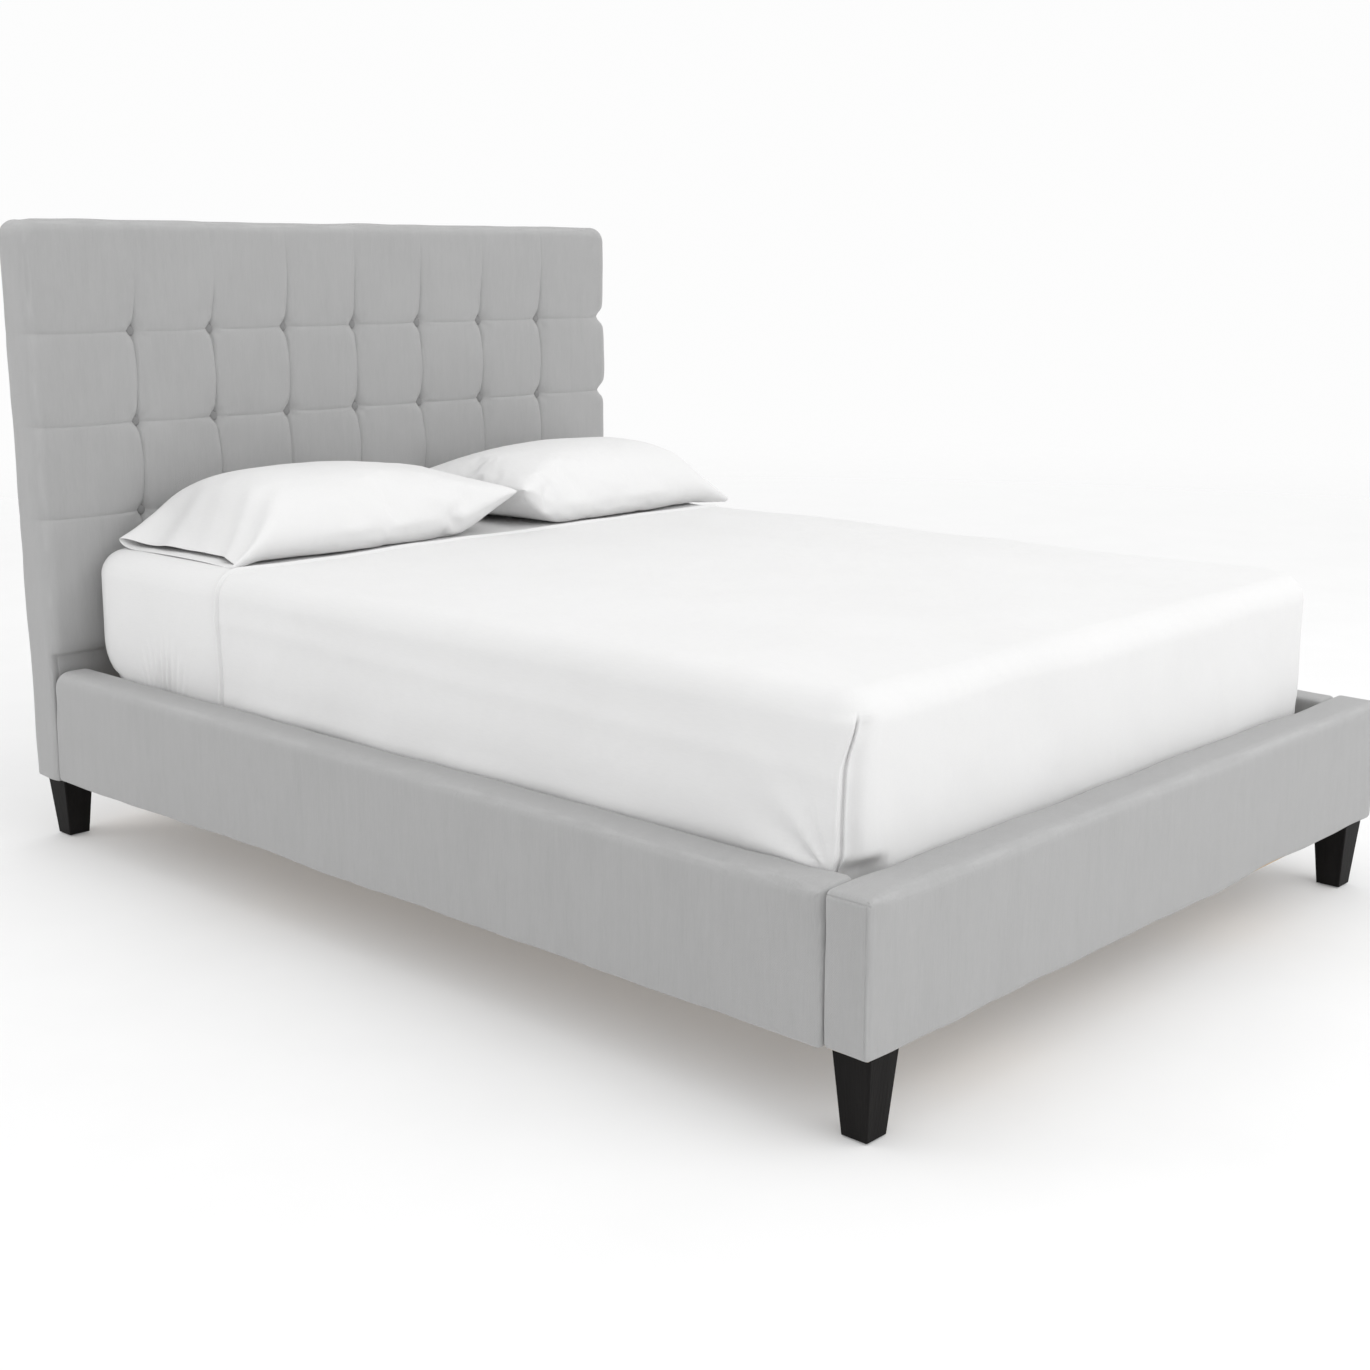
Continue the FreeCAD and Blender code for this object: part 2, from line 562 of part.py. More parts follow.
def corner_bracket(end_y, way):
    """Steel angle: one leg on the rail board, the other against the headboard or footboard."""
    low = LEG_HEIGHT + BRACKET_ABOVE_BOTTOM
    high = low + BRACKET_HEIGHT
    near, far = sorted((end_y, end_y + way * BRACKET_LENGTH))
    along = box(BOARD_INNER_X - BRACKET_STEEL, BOARD_INNER_X, near, far, low, high)
    near, far = sorted((end_y, end_y + way * BRACKET_STEEL))
    across = box(BOARD_INNER_X - BRACKET_INWARD, BOARD_INNER_X, near, far, low, high)
    return fused([along, across])


def build_corner_hardware(nodes):
    brackets = []
    bolts = []
    for end_y, way in bracket_ends():
        holes = Part.makeCompound(bolt_holes(end_y, way) + rail_screws(0.0))
        bracket = corner_bracket(end_y, way).cut(holes)
        brackets += [bracket, mirrored(bracket)]
        for x, z in bracket_bolt_places():
            whole = fused(list(bolt(x, end_y, way, z, 0.0)))
            bolts += [whole, mirrored(whole)]
    nodes["corner_brackets"] = Part.makeCompound(brackets)
    nodes["corner_bolts"] = Part.makeCompound(bolts)
    nodes["threaded_inserts"] = Part.makeCompound(
        inserts(HEAD_RAIL_FRONT_Y, 1, True) + inserts(FOOT_RAIL_BACK_Y, -1, True))
    screws = rail_screws(0.0)
    nodes["wood_screws"] = Part.makeCompound(
        screws + [mirrored(screw) for screw in screws] + beam_screw_shapes(0.0) + centre_leg_screws(0.0))


# ------------------------------------------------------------------ corner legs

def leg_places():
    return {"foot_left": (-LEG_X, FOOT_LEG_Y), "foot_right": (LEG_X, FOOT_LEG_Y),
            "head_left": (-LEG_X, HEAD_LEG_Y), "head_right": (LEG_X, HEAD_LEG_Y)}


def square_ring(x, y, size, z):
    half = size / 2
    return ring(x - half, x + half, y - half, y + half, z, LEG_BEVEL)


def hanger_bolts(grow):
    low = LEG_HEIGHT - LEG_PLATE - HANGER_BOLT_DOWN
    length = HANGER_BOLT_DOWN + LEG_PLATE + HANGER_BOLT_UP
    return [rod(HANGER_BOLT_DIAMETER + 2 * grow, length, vector(x, y, low), Z_AXIS)
            for x, y in leg_places().values()]


def build_legs(nodes):
    plates = []
    glides = []
    bolts = Part.makeCompound(hanger_bolts(0.0))
    bolt_room = Part.makeCompound(hanger_bolts(HARDWARE_CLEARANCE))
    for name, (x, y) in leg_places().items():
        rings = [square_ring(x, y, LEG_FOOT, GLIDE), square_ring(x, y, LEG_TOP, LEG_HEIGHT - LEG_PLATE)]
        nodes["leg_" + name] = Part.makeLoft(rings, True, True).cut(bolt_room)
        half = LEG_TOP / 2 - LEG_PLATE_INSET
        plate = box(x - half, x + half, y - half, y + half, LEG_HEIGHT - LEG_PLATE, LEG_HEIGHT)
        plates.append(plate.cut(bolt_room))
        glides.append(rod(GLIDE_DIAMETER, GLIDE, vector(x, y, 0), Z_AXIS))
    nodes["leg_plates"] = Part.makeCompound(plates)
    nodes["leg_glides"] = Part.makeCompound(glides)
    nodes["leg_hanger_bolts"] = bolts


# ------------------------------------------------------------------ slats and centre beam

def build_slats(nodes):
    half = INNER_X - SLAT_END_GAP
    first = MATTRESS_FOOT_Y + SLAT_END_MARGIN
    last = MATTRESS_HEAD_Y - SLAT_END_MARGIN - SLAT_WIDTH
    slats = []
    for index in range(SLAT_COUNT):
        y = first + (last - first) * index / (SLAT_COUNT - 1)
        slats.append(box(-half, half, y, y + SLAT_WIDTH, LEDGER_TOP_Z, SLAT_TOP))
    nodes["slats"] = Part.makeCompound(slats)
    centre = (BEAM_WIDTH / 2 + BOARD_INNER_X - LEDGER_WIDTH) / 2
    strap = box(centre - STRAP_WIDTH / 2, centre + STRAP_WIDTH / 2, first, last + SLAT_WIDTH,
                LEDGER_TOP_Z - STRAP_THICKNESS, LEDGER_TOP_Z)
    nodes["slat_straps"] = Part.makeCompound([strap, mirrored(strap)])


def beam_bracket(face_y, way):
    """Steel cup under the beam's end, with a back plate that hangs down in front of the bottom rail."""
    half = BEAM_WIDTH / 2
    steel = BEAM_BRACKET_STEEL
    near, far = sorted((face_y, face_y + way * BEAM_BRACKET_REACH))
    cup = box(-half - steel, half + steel, near, far, BEAM_BOTTOM_Z - steel, LEDGER_TOP_Z - steel)
    cup = cup.cut(box(-half, half, near, far, BEAM_BOTTOM_Z, LEDGER_TOP_Z))
    near, far = sorted((face_y, face_y + way * steel))
    wide = half + BEAM_BRACKET_FLANGE
    plate = box(-wide, wide, near, far, beam_screw_z() - BEAM_PLATE_BELOW_SCREW, LEDGER_TOP_Z - steel)
    return fused([plate, cup])


def beam_screw_z():
    return (LEG_HEIGHT + BOTTOM_RAIL_TOP_Z) / 2


def beam_screw_shapes(grow):
    """Screws through the beam brackets' back plates into the bottom rails."""
    shapes = []
    z = beam_screw_z()
    for face_y, way in ((LOWER_STRIP_Y, -1), (FOOTBOARD_INNER_Y, 1)):
        for side in (-1, 1):
            start = vector(side * BEAM_WIDTH / 2, face_y + way * BEAM_BRACKET_STEEL, z)
            shapes.append(wood_screw(start, Y_AXIS * (-way), BEAM_SCREW_LENGTH, grow))
    return shapes


def centre_leg_places():
    return {"foot": -CENTRE_LEG_SPREAD / 2, "head": CENTRE_LEG_SPREAD / 2}


def centre_leg_screws(grow):
    """One long screw down through the beam into each centre leg."""
    return [wood_screw(vector(0, y, LEDGER_TOP_Z), Z_AXIS * -1, BEAM_HEIGHT + BEAM_SCREW_LENGTH, grow)
            for y in centre_leg_places().values()]


def build_centre(nodes):
    steel = BEAM_BRACKET_STEEL
    beam = box(-BEAM_WIDTH / 2, BEAM_WIDTH / 2, FOOTBOARD_INNER_Y + steel, LOWER_STRIP_Y - steel,
               BEAM_BOTTOM_Z, LEDGER_TOP_Z)
    screws = Part.makeCompound(centre_leg_screws(0.0))
    nodes["centre_beam"] = beam.cut(screws)
    plate_screws = Part.makeCompound(beam_screw_shapes(0.0))
    brackets = [beam_bracket(LOWER_STRIP_Y, -1), beam_bracket(FOOTBOARD_INNER_Y, 1)]
    nodes["beam_brackets"] = Part.makeCompound([bracket.cut(plate_screws) for bracket in brackets])
    half = CENTRE_LEG_SIZE / 2
    nuts = []
    for name, y in centre_leg_places().items():
        post = box(-half, half, y - half, y + half, CENTRE_LEG_CLEAR, BEAM_BOTTOM_Z)
        post = post.cut(rod(STUD_DIAMETER + 2 * POST_BORE_GAP, STUD_BORE_DEPTH,
                            vector(0, y, CENTRE_LEG_CLEAR), Z_AXIS))
        post = post.cut(rod(FOOT_NUT_DIAMETER, FOOT_NUT_LENGTH, vector(0, y, CENTRE_LEG_CLEAR), Z_AXIS))
        nodes["centre_leg_" + name] = post.cut(screws)
        nuts.append(tube(FOOT_NUT_DIAMETER, FOOT_NUT_BORE, FOOT_NUT_LENGTH,
                         vector(0, y, CENTRE_LEG_CLEAR), Z_AXIS))
        nodes["levelling_pad_" + name] = levelling_pad(y)
        nodes["levelling_stud_" + name] = levelling_stud(y)
    nodes["levelling_nuts"] = Part.makeCompound(nuts)


def levelling_pad(y):
    """Round foot with a socket for the stud's end."""
    pad = rod(PAD_DIAMETER, PAD_HEIGHT, vector(0, y, 0), Z_AXIS)
    pad = pad.makeChamfer(PAD_CHAMFER, level_edges(pad, PAD_HEIGHT))
    socket = rod(STUD_DIAMETER + 2 * STUD_SOCKET_GAP, PAD_SOCKET_DEPTH,
                 vector(0, y, PAD_HEIGHT - PAD_SOCKET_DEPTH), Z_AXIS)
    return pad.cut(socket)


def levelling_stud(y):
    """Threaded stud with a hexagon for a spanner, which stops just under the nut."""
    low = PAD_HEIGHT - PAD_SOCKET_DEPTH + REST_GAP
    shank = rod(STUD_DIAMETER, STUD_LENGTH, vector(0, y, low), Z_AXIS)
    collar = hexagon(STUD_HEX, STUD_HEX_HEIGHT, vector(0, y, PAD_HEIGHT + REST_GAP), Z_AXIS)
    return fused([shank, collar])


# ------------------------------------------------------------------ mattress

def mattress_form(grow, low, bottom_edge):
    """Mattress outline grown on every side and the top; low is its underside."""
    half = MATTRESS_WIDTH / 2 + grow
    top = MATTRESS_TOP_Z + grow
    form = box(-half, half, MATTRESS_FOOT_Y - grow, MATTRESS_HEAD_Y + grow, low, top)
    form = form.makeFillet(MATTRESS_CORNER + grow, edges_along(form, Z_AXIS, lambda point: True))
    form = form.makeFillet(MATTRESS_TOP_EDGE + grow, level_edges(form, top))
    if bottom_edge:
        form = form.makeFillet(bottom_edge, level_edges(form, low))
    return form


def build_mattress(nodes):
    low = MATTRESS_BOTTOM_Z
    filling = mattress_form(-TICKING, low + TICKING, MATTRESS_BOTTOM_EDGE - TICKING)
    nodes["mattress_ticking"] = mattress_form(0.0, low, MATTRESS_BOTTOM_EDGE).cut(filling)
    wide = 2 * MATTRESS_LENGTH
    base_top = low + TICKING + BASE_FOAM
    comfort_bottom = MATTRESS_TOP_Z - TICKING - COMFORT_FOAM
    nodes["mattress_comfort_foam"] = filling.common(
        box(-wide, wide, -wide, wide, comfort_bottom, 2 * MATTRESS_TOP_Z))
    nodes["mattress_base_foam"] = filling.common(box(-wide, wide, -wide, wide, 0, base_top))
    middle = filling.common(box(-wide, wide, -wide, wide, base_top, comfort_bottom))
    spring_x = MATTRESS_WIDTH / 2 - TICKING - EDGE_FOAM
    spring_y0 = MATTRESS_FOOT_Y + TICKING + EDGE_FOAM
    spring_y1 = MATTRESS_HEAD_Y - TICKING - EDGE_FOAM
    nodes["mattress_edge_foam"] = middle.cut(
        box(-spring_x, spring_x, spring_y0, spring_y1, base_top, comfort_bottom))
    columns = int(2 * spring_x // SPRING_PITCH)
    rows = int((spring_y1 - spring_y0) // SPRING_PITCH)
    springs = []
    for column in range(columns):
        for row in range(rows):
            x = SPRING_PITCH * (column - (columns - 1) / 2)
            y = (spring_y0 + spring_y1) / 2 + SPRING_PITCH * (row - (rows - 1) / 2)
            springs.append(tube(SPRING_DIAMETER, SPRING_DIAMETER - 2 * SPRING_WALL,
                                comfort_bottom - base_top - 2 * SPRING_GAP,
                                vector(x, y, base_top + SPRING_GAP), Z_AXIS))
    nodes["mattress_springs"] = Part.makeCompound(springs)


# ------------------------------------------------------------------ bedding

def build_sheets(nodes):
    low = MATTRESS_BOTTOM_Z
    bare = mattress_form(0.0, low, MATTRESS_BOTTOM_EDGE)
    fitted = mattress_form(SHEET, low, 0.0)
    nodes["fitted_sheet"] = fitted.cut(mattress_form(0.0, low, 0.0)).cut(bare)
    flat = mattress_form(2 * SHEET, low, 0.0).cut(fitted)
    edge_y = MATTRESS_HEAD_Y - FLAT_SHEET_FROM_HEAD
    beyond = box(-2 * OUTER_X, 2 * OUTER_X, edge_y, 2 * HEAD_Y, 0, 2 * MATTRESS_TOP_Z)
    nodes["flat_sheet"] = flat.cut(beyond)


def pillow_form(x0, x1, y0, y1, z0, z1):
    """Crowned closed form: inset at the bed, fullest low down, and drawn in towards its top."""
    height = z1 - z0
    depth = y1 - y0
    rings = []
    for rise, inset in PILLOW_LEVELS:
        shift = inset * depth
        corner = PILLOW_RING_CORNER * (1 - (1 - PILLOW_TOP_CORNER_SHARE) * rise)
        rings.append(ring(x0 + shift, x1 - shift, y0 + shift, y1 - shift, z0 + height * rise, corner))
    return Part.makeLoft(rings, True, True)


def build_pillows(nodes):
    z0 = MATTRESS_TOP_Z + 2 * SHEET + REST_GAP
    z1 = z0 + PILLOW_THICKNESS
    y1 = MATTRESS_HEAD_Y - PILLOW_FROM_HEAD
    y0 = y1 - PILLOW_DEPTH
    middle = PILLOW_SHIFT
    left = (-MATTRESS_WIDTH / 2 + LEFT_CASE_INSIDE_MATTRESS, middle - PILLOW_MIDDLE_GAP / 2)
    right = (middle + PILLOW_MIDDLE_GAP / 2, MATTRESS_WIDTH / 2 + RIGHT_CASE_PAST_MATTRESS)
    wall = PILLOWCASE
    for name, (x0, x1) in (("left", left), ("right", right)):
        low_flap = CASE_FLAP if name == "left" else wall
        high_flap = CASE_FLAP if name == "right" else wall
        case = pillow_form(x0, x1, y0, y1, z0, z1)
        fill = pillow_form(x0 + low_flap, x1 - high_flap, y0 + wall, y1 - wall, z0 + wall, z1 - wall)
        nodes["pillowcase_" + name] = case.cut(fill)
        nodes["pillow_" + name] = fill


def main():
    nodes = {}
    build_headboard(nodes)
    build_footboard(nodes)
    build_rails(nodes)
    build_corner_hardware(nodes)
    build_legs(nodes)
    build_slats(nodes)
    build_centre(nodes)
    build_mattress(nodes)
    build_sheets(nodes)
    build_pillows(nodes)
    os.makedirs("parts", exist_ok=True)
    for name, shape in nodes.items():
        shape.exportStep(os.path.join("parts", name + ".step"))
    print(len(nodes), "nodes")


main()
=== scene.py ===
"""Visual model of the upholstered headboard bed: padded and tufted covers, bedding and finishes.

Lengths are metres in the row frame: +Z up, -Y towards the foot, the headboard's back at the largest Y.
"""

import json
import math

import bpy
import numpy as np
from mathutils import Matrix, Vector


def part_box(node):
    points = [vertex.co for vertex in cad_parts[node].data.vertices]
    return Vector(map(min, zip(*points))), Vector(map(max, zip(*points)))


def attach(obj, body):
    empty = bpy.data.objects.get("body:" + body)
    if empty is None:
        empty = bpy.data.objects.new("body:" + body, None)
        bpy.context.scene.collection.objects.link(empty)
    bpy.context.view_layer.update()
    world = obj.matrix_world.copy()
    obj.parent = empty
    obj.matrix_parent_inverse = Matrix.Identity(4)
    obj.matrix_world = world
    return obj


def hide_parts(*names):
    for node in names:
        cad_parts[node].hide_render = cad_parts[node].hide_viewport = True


TAU = 2 * math.pi

# camera
CAMERA_PLACE = (-2.5926, -2.4241, 1.1406)
CAMERA_DOWN_DEG = 12.64
CAMERA_TURN_DEG = -47.15
LENS_MM = 49.95
SENSOR_MM = 36.0

# headboard padding
CREST_PROUD = 0.0025
PAD_CORNER_RADIUS = 0.036
PAD_EDGE_RADIUS = 0.024
PAD_BACK_RADIUS = 0.006
PAD_BOTTOM = 0.380
STRIP_SET_BACK = 0.016
FOLD_DEPTH_UPRIGHT = 0.0165
FOLD_DEPTH_LEVEL = 0.0075
NOTCH_DEPTH_LEFT = 0.004
NOTCH_DEPTH_RIGHT = 0.015
NOTCH_HALF_HEIGHT = 0.014
FOLD_BOW = 0.008
FOLD_HALF_WIDTH = 0.088
FOLD_POWER = 2.1
FOLD_SHARP_SHARE = 0.20
FOLD_SHARP_WIDTH = 0.0030
POCKET_DEPTH = 0.0115
POCKET_RADIUS = 0.0150
SIDE_NOTCH_SHARE = 0.10
FOLD_REACH_ABOVE = (0.105, 0.125, 0.195, 0.190, 0.200, 0.180, 0.190)
FADE_BELOW = 0.080
UPRIGHT_SLACK = (0.28, 0.48)
LEVEL_SLACK = (0.42, 0.60)
PUCKERS = 7
PUCKER_DEPTH = 0.0008
PUCKER_RING = 0.024
PUCKER_WIDTH = 0.016
BOW_REACH = 0.055
DROOP = 0.002
DROOP_REACH = 0.05
PAD_GRID = 0.0075
SEAM_LINES = np.array([0.0025, 0.005, 0.008, 0.012])
SEAM_BLEND = 0.004
SEAM_ROLL_DEPTH = 0.010
SEAM_ROLL_HEIGHT = 0.012
BUTTON_SIDES = 28
BUTTON_GAP = 0.04
# each ring of a button, as shares of its radius and of its depth from the front
BUTTON_PROFILE = (
    (0.30, 0.04), (0.55, 0.13), (0.78, 0.30), (0.93, 0.52), (1.0, 0.76), (0.95, 0.95), (0.6, 1.0),
)
BACK_GRID = 0.014
HEM_INSET = 0.009
STAPLE_PITCH = 0.055

# rails and footboard
RAIL_CORNER_RADIUS = 0.010
RAIL_HEAD_CORNER_RADIUS = 0.036
RAIL_TOP_RADIUS = 0.025
RAIL_BOTTOM_RADIUS = 0.008
RAIL_INNER_RADIUS = 0.010
FOOTBOARD_TOP_RADIUS = 0.021
FOOTBOARD_BOTTOM_RADIUS = 0.009
SEAM_INSET = 0.007
SEAM_HALF_WIDTH = 0.0016
SEAM_DEPTH = 0.0014
RAIL_END_LINES = np.array([0.002, 0.004, 0.007, 0.011, 0.016, 0.022, 0.03, 0.04])
SEAM_END_LINES = np.array(
    [0.0015, 0.003, 0.0045, 0.0054, 0.0062, 0.007, 0.0078, 0.0086, 0.010, 0.013, 0.018, 0.026]
)

# slat straps
SLAT_COUNT = 13
SLAT_WIDTH = 0.070
STRAP_WIDTH = 0.030
STRAP_SAG = 0.004
STRAP_RIM_LINES = np.array([0.0012, 0.0025, 0.005, 0.010])
STRAP_RIM_SHARE = 0.55

# bedding
SHEET_THICKNESS = 0.0006
MATTRESS_CORNER_RADIUS = 0.080
FOLDED_CORNER_RADIUS = 0.050
SLACK_CORNER_RADIUS = 0.104
CORNER_TUCK = 0.042
TUCK_FROM = 0.062
TUCK_TO = 0.087
HEAD_TUCK = 0.056
HEAD_TUCK_HEIGHT = 0.136
MATTRESS_TOP_RADIUS = 0.048
MATTRESS_BOTTOM_RADIUS = 0.030
FITTED_TUCK = 0.080
FLAT_SIDE_TUCK = 0.038
FLAT_FOOT_TUCK = 0.640
HEM_ROLL = 0.0042
HEM_GROOVE = 0.0022
LAYER_PRESS = 0.0095
LAYER_EASE = 0.030
HEM_GROOVE_PLACE = 0.009
HEM_GROOVE_WIDTH = 0.0022
HEM_LINES = np.array([0.0, 0.0015, 0.003, 0.0045, 0.006, 0.0075, 0.009, 0.0105, 0.012, 0.014, 0.018])
CORNER_LINES = np.array([0.004, 0.009, 0.015, 0.022, 0.030, 0.040, 0.055, 0.075, 0.095])
FOLD_LINES = np.arange(0.0022, 0.062, 0.0022)
GATHER_Y = 0.689
GATHER_Z = 0.372
GATHER_DEPTH = 0.0044
GATHER_PITCH = 0.019
RAIL_BULGE = 0.0050
RAIL_BULGE_HEIGHT = 0.352
PLEAT_BEND = 0.62
PLEAT_TOP = 0.90
PULL_DEPTH = 0.0080

# pillows
CASE_CUT = (0.762, 0.508)
CASE_STEP = 0.0092
CASE_HEM = 0.085
FILL_VOLUME = 0.033
FILL_FIRMNESS = 12.0
SETTLE_FRAMES = 40
CASE_GRAVITY = 0.3
CASE_CLOTH = {
    "quality": 6, "mass": 0.015, "air_damping": 4.0, "tension_stiffness": 22, "compression_stiffness": 22,
    "shear_stiffness": 8, "bending_stiffness": 0.6, "use_pressure": True, "use_pressure_volume": True,
    "target_volume": FILL_VOLUME * (1 + FILL_FIRMNESS), "uniform_pressure_force": -FILL_FIRMNESS,
    "vertex_group_pressure": "fill",
}
FILL_END = 0.88
END_HEIGHT = 0.42
END_HOLLOW = 0.020
TIP_LIFT = 0.034
EAR_DROP = 0.012
HEM_STEP = 0.0012
FILL_INSET = 0.003
RELAX_STEPS = 14

# finishes
SHEEN_ROUGHNESS = 0.45
UPHOLSTERY_PITCH = 0.0022
PERCALE_PITCH = 0.0009
GRAIN_SPREAD = 0.17
ESPRESSO = ((0.012, 0.0112, 0.011), (0.005, 0.0046, 0.0045))

# studio: each light's place, aim, size and watts
SKY_LOW = 0.98
SKY_HIGH = 1.02
LIGHTS = {
    "key": ((1.0, -4.6, 3.8), (0, 0, 0.4), 4.0, 86),
    "overhead": ((-0.5, 0.2, 5.2), (0, 0, 0.4), 4.5, 20),
    "side": ((-3.4, 3.2, 2.2), (-0.77, 1.0, 0.7), 1.6, 18),
    "fill": ((-4.6, -2.6, 0.9), (-0.7, 0, 0.45), 2.4, 2),
}
FLOOR_RINGS = (2.0, 6.0, 14.0, 40.0)
FLOOR_SPOKES = 64
FLOOR_FADE = (2.5, 9.0)
FLOOR_GLOW = 0.16

# sines summed for one random field
WAVE_COUNT = 14

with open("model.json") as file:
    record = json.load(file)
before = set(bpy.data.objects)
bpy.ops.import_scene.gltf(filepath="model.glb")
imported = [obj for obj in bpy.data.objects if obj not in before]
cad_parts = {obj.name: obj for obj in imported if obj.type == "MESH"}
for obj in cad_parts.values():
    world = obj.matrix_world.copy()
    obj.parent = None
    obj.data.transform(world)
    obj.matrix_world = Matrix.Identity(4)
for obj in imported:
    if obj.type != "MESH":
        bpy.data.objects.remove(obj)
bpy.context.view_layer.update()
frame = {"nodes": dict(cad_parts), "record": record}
scene = bpy.context.scene


# ---------------- mesh helpers


def graded(stops, step, crowd=0.72, extra=()):
    """Grid places that pass through every stop and lie closer together beside the stops."""
    places = []
    for start, end in zip(stops[:-1], stops[1:]):
        count = max(1, math.ceil((end - start) / step))
        t = np.arange(count) / count
        places.append(start + (end - start) * (t - crowd * np.sin(TAU * t) / TAU))
    places.append(np.array([stops[-1]]))
    merged = np.sort(np.concatenate([*places, np.array(list(extra), float)]))
    keep = np.concatenate([[True], np.diff(merged) > 0.0004])
    return merged[keep]


def grid_quads(index, flip):
    """Quads of a grid of point numbers, wound the other way where flip is true."""
    corners = [index[:-1, :-1], index[1:, :-1], index[1:, 1:], index[:-1, 1:]]
    quads = np.stack(corners, axis=-1).reshape(-1, 4)
    return quads[:, ::-1] if flip else quads


def box_grid(xs, ys, zs):
    """Points and quads of a closed box whose faces carry the given grid lines."""
    shell = np.zeros((len(xs), len(ys), len(zs)), bool)
    for axis in range(3):
        ends = [slice(None)] * 3
        ends[axis] = [0, -1]
        shell[tuple(ends)] = True
    index = -np.ones(shell.shape, int)
    index[shell] = np.arange(shell.sum())
    i, j, k = np.nonzero(shell)
    points = np.stack([xs[i], ys[j], zs[k]], axis=1)
    faces = [
        grid_quads(index[0], True),
        grid_quads(index[-1], False),
        grid_quads(index[:, 0], False),
        grid_quads(index[:, -1], True),
        grid_quads(index[:, :, 0], True),
        grid_quads(index[:, :, -1], False),
    ]
    return points, np.concatenate(faces)


def beside(low, high, gaps):
    """Grid places at each gap in from both ends."""
    return [*(low + gaps), *(high - gaps)]


def round_box(points, lo, hi, plan, corners, edges):
    """Rounds a gridded box. plan is (a, b, depth axis); corners are the outline radii for b low and high,
    each a pair for a low and high; edges are the radii at the low and high side of the depth axis."""
    a, b, c = plan
    lo, hi = np.array(lo), np.array(hi)
    half = (hi - lo) / 2
    p = points - (lo + hi) / 2
    table = np.array(corners)
    radius = table[(p[:, b] > 0).astype(int), (p[:, a] > 0).astype(int)]
    side_a, side_b, side_c = np.sign(p[:, a]), np.sign(p[:, b]), np.sign(p[:, c])
    in_a = np.abs(p[:, a]) - (half[a] - radius)
    in_b = np.abs(p[:, b]) - (half[b] - radius)
    corner = (in_a > 0) & (in_b > 0)
    square = np.maximum(in_a, in_b)
    reach = np.maximum(np.hypot(in_a, in_b), 1e-9)
    ratio = square / reach
    p[:, a] = np.where(corner, side_a * (half[a] - radius + in_a * ratio), p[:, a])
    p[:, b] = np.where(corner, side_b * (half[b] - radius + in_b * ratio), p[:, b])
    gap_a, gap_b = half[a] - np.abs(p[:, a]), half[b] - np.abs(p[:, b])
    gap = np.where(corner, radius - square, np.minimum(gap_a, gap_b))
    out_a = np.where(corner, side_a * in_a / reach, np.where(gap_a <= gap_b, side_a, 0.0))
    out_b = np.where(corner, side_b * in_b / reach, np.where(gap_a <= gap_b, 0.0, side_b))
    edge = np.where(p[:, c] > 0, edges[1], edges[0])
    in_t, in_c = edge - gap, np.abs(p[:, c]) - (half[c] - edge)
    near = (in_t > 0) & (in_c > 0)
    ratio = np.maximum(in_t, in_c) / np.maximum(np.hypot(in_t, in_c), 1e-9)
    shift = np.where(near, edge - in_t * ratio - gap, 0.0)
    p[:, a] -= out_a * shift
    p[:, b] -= out_b * shift
    p[:, c] = np.where(near, side_c * (half[c] - edge + in_c * ratio), p[:, c])
    return p + (lo + hi) / 2


def normals(points, faces):
    """Unit normal at each point of a quad mesh."""
    across = np.cross(points[faces[:, 2]] - points[faces[:, 0]], points[faces[:, 3]] - points[faces[:, 1]])
    total = np.zeros_like(points)
    for corner in range(4):
        np.add.at(total, faces[:, corner], across)
    return total / np.maximum(np.linalg.norm(total, axis=1), 1e-12)[:, None]


def waves(points, size, seed):
    """A smooth random field of about -1 to 1, whose swells are about that size."""
    rng = np.random.default_rng(seed)
    field = np.zeros(len(points))
    for _ in range(WAVE_COUNT):
        direction = rng.normal(size=3)
        direction *= TAU / (size * rng.uniform(0.7, 1.6)) / np.linalg.norm(direction)
        field += np.sin(points @ direction + rng.uniform(0, TAU))
    return field / math.sqrt(WAVE_COUNT)


def smooth(value, start, end):
    """0 before start, 1 after end, eased between them."""
    t = np.clip((value - start) / (end - start), 0, 1)
    return t * t * (3 - 2 * t)


def bell(distance, width):
    """1 at no distance, and almost 0 beyond two widths."""
    return np.exp(-((distance / width) ** 2))


def half_gap(value, low, high):
    """Distance to the nearer of two ends."""
    return np.minimum(value - low, high - value)


def mesh_object(name, points, faces):
    """A new object in the scene, made from lists of points and faces."""
    mesh = bpy.data.meshes.new(name)
    mesh.from_pydata(points, [], faces)
    mesh.update()
    made = bpy.data.objects.new(name, mesh)
    scene.collection.objects.link(made)
    return made


def dress(piece, body, slot, stands_for):
    """Shades a piece smooth, gives it its finish and body, and hides the CAD nodes it stands for."""
    piece.data.shade_smooth()
    piece.data.materials.append(MATERIALS[slot])
    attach(piece, body)
    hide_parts(*stands_for)
    return piece


def build(name, points, faces, body, slot, stands_for):
    """A finished piece from arrays of points and quads."""
    return dress(mesh_object(name, points.tolist(), faces.tolist()), body, slot, stands_for)


def drop_faces(points, faces, keep):
    """Keeps the faces marked in keep and the points they use."""
    faces = faces[keep]
    used = np.unique(faces)
    index = np.zeros(len(points), int)
    index[used] = np.arange(len(used))
    return points[used], index[faces]


def thicken(piece, thickness):
    """Gives a sheet its thickness, inwards from the modelled face."""
    modifier = piece.modifiers.new("cloth_thickness", "SOLIDIFY")
    modifier.thickness = thickness
    modifier.offset = -1


# ---------------- materials


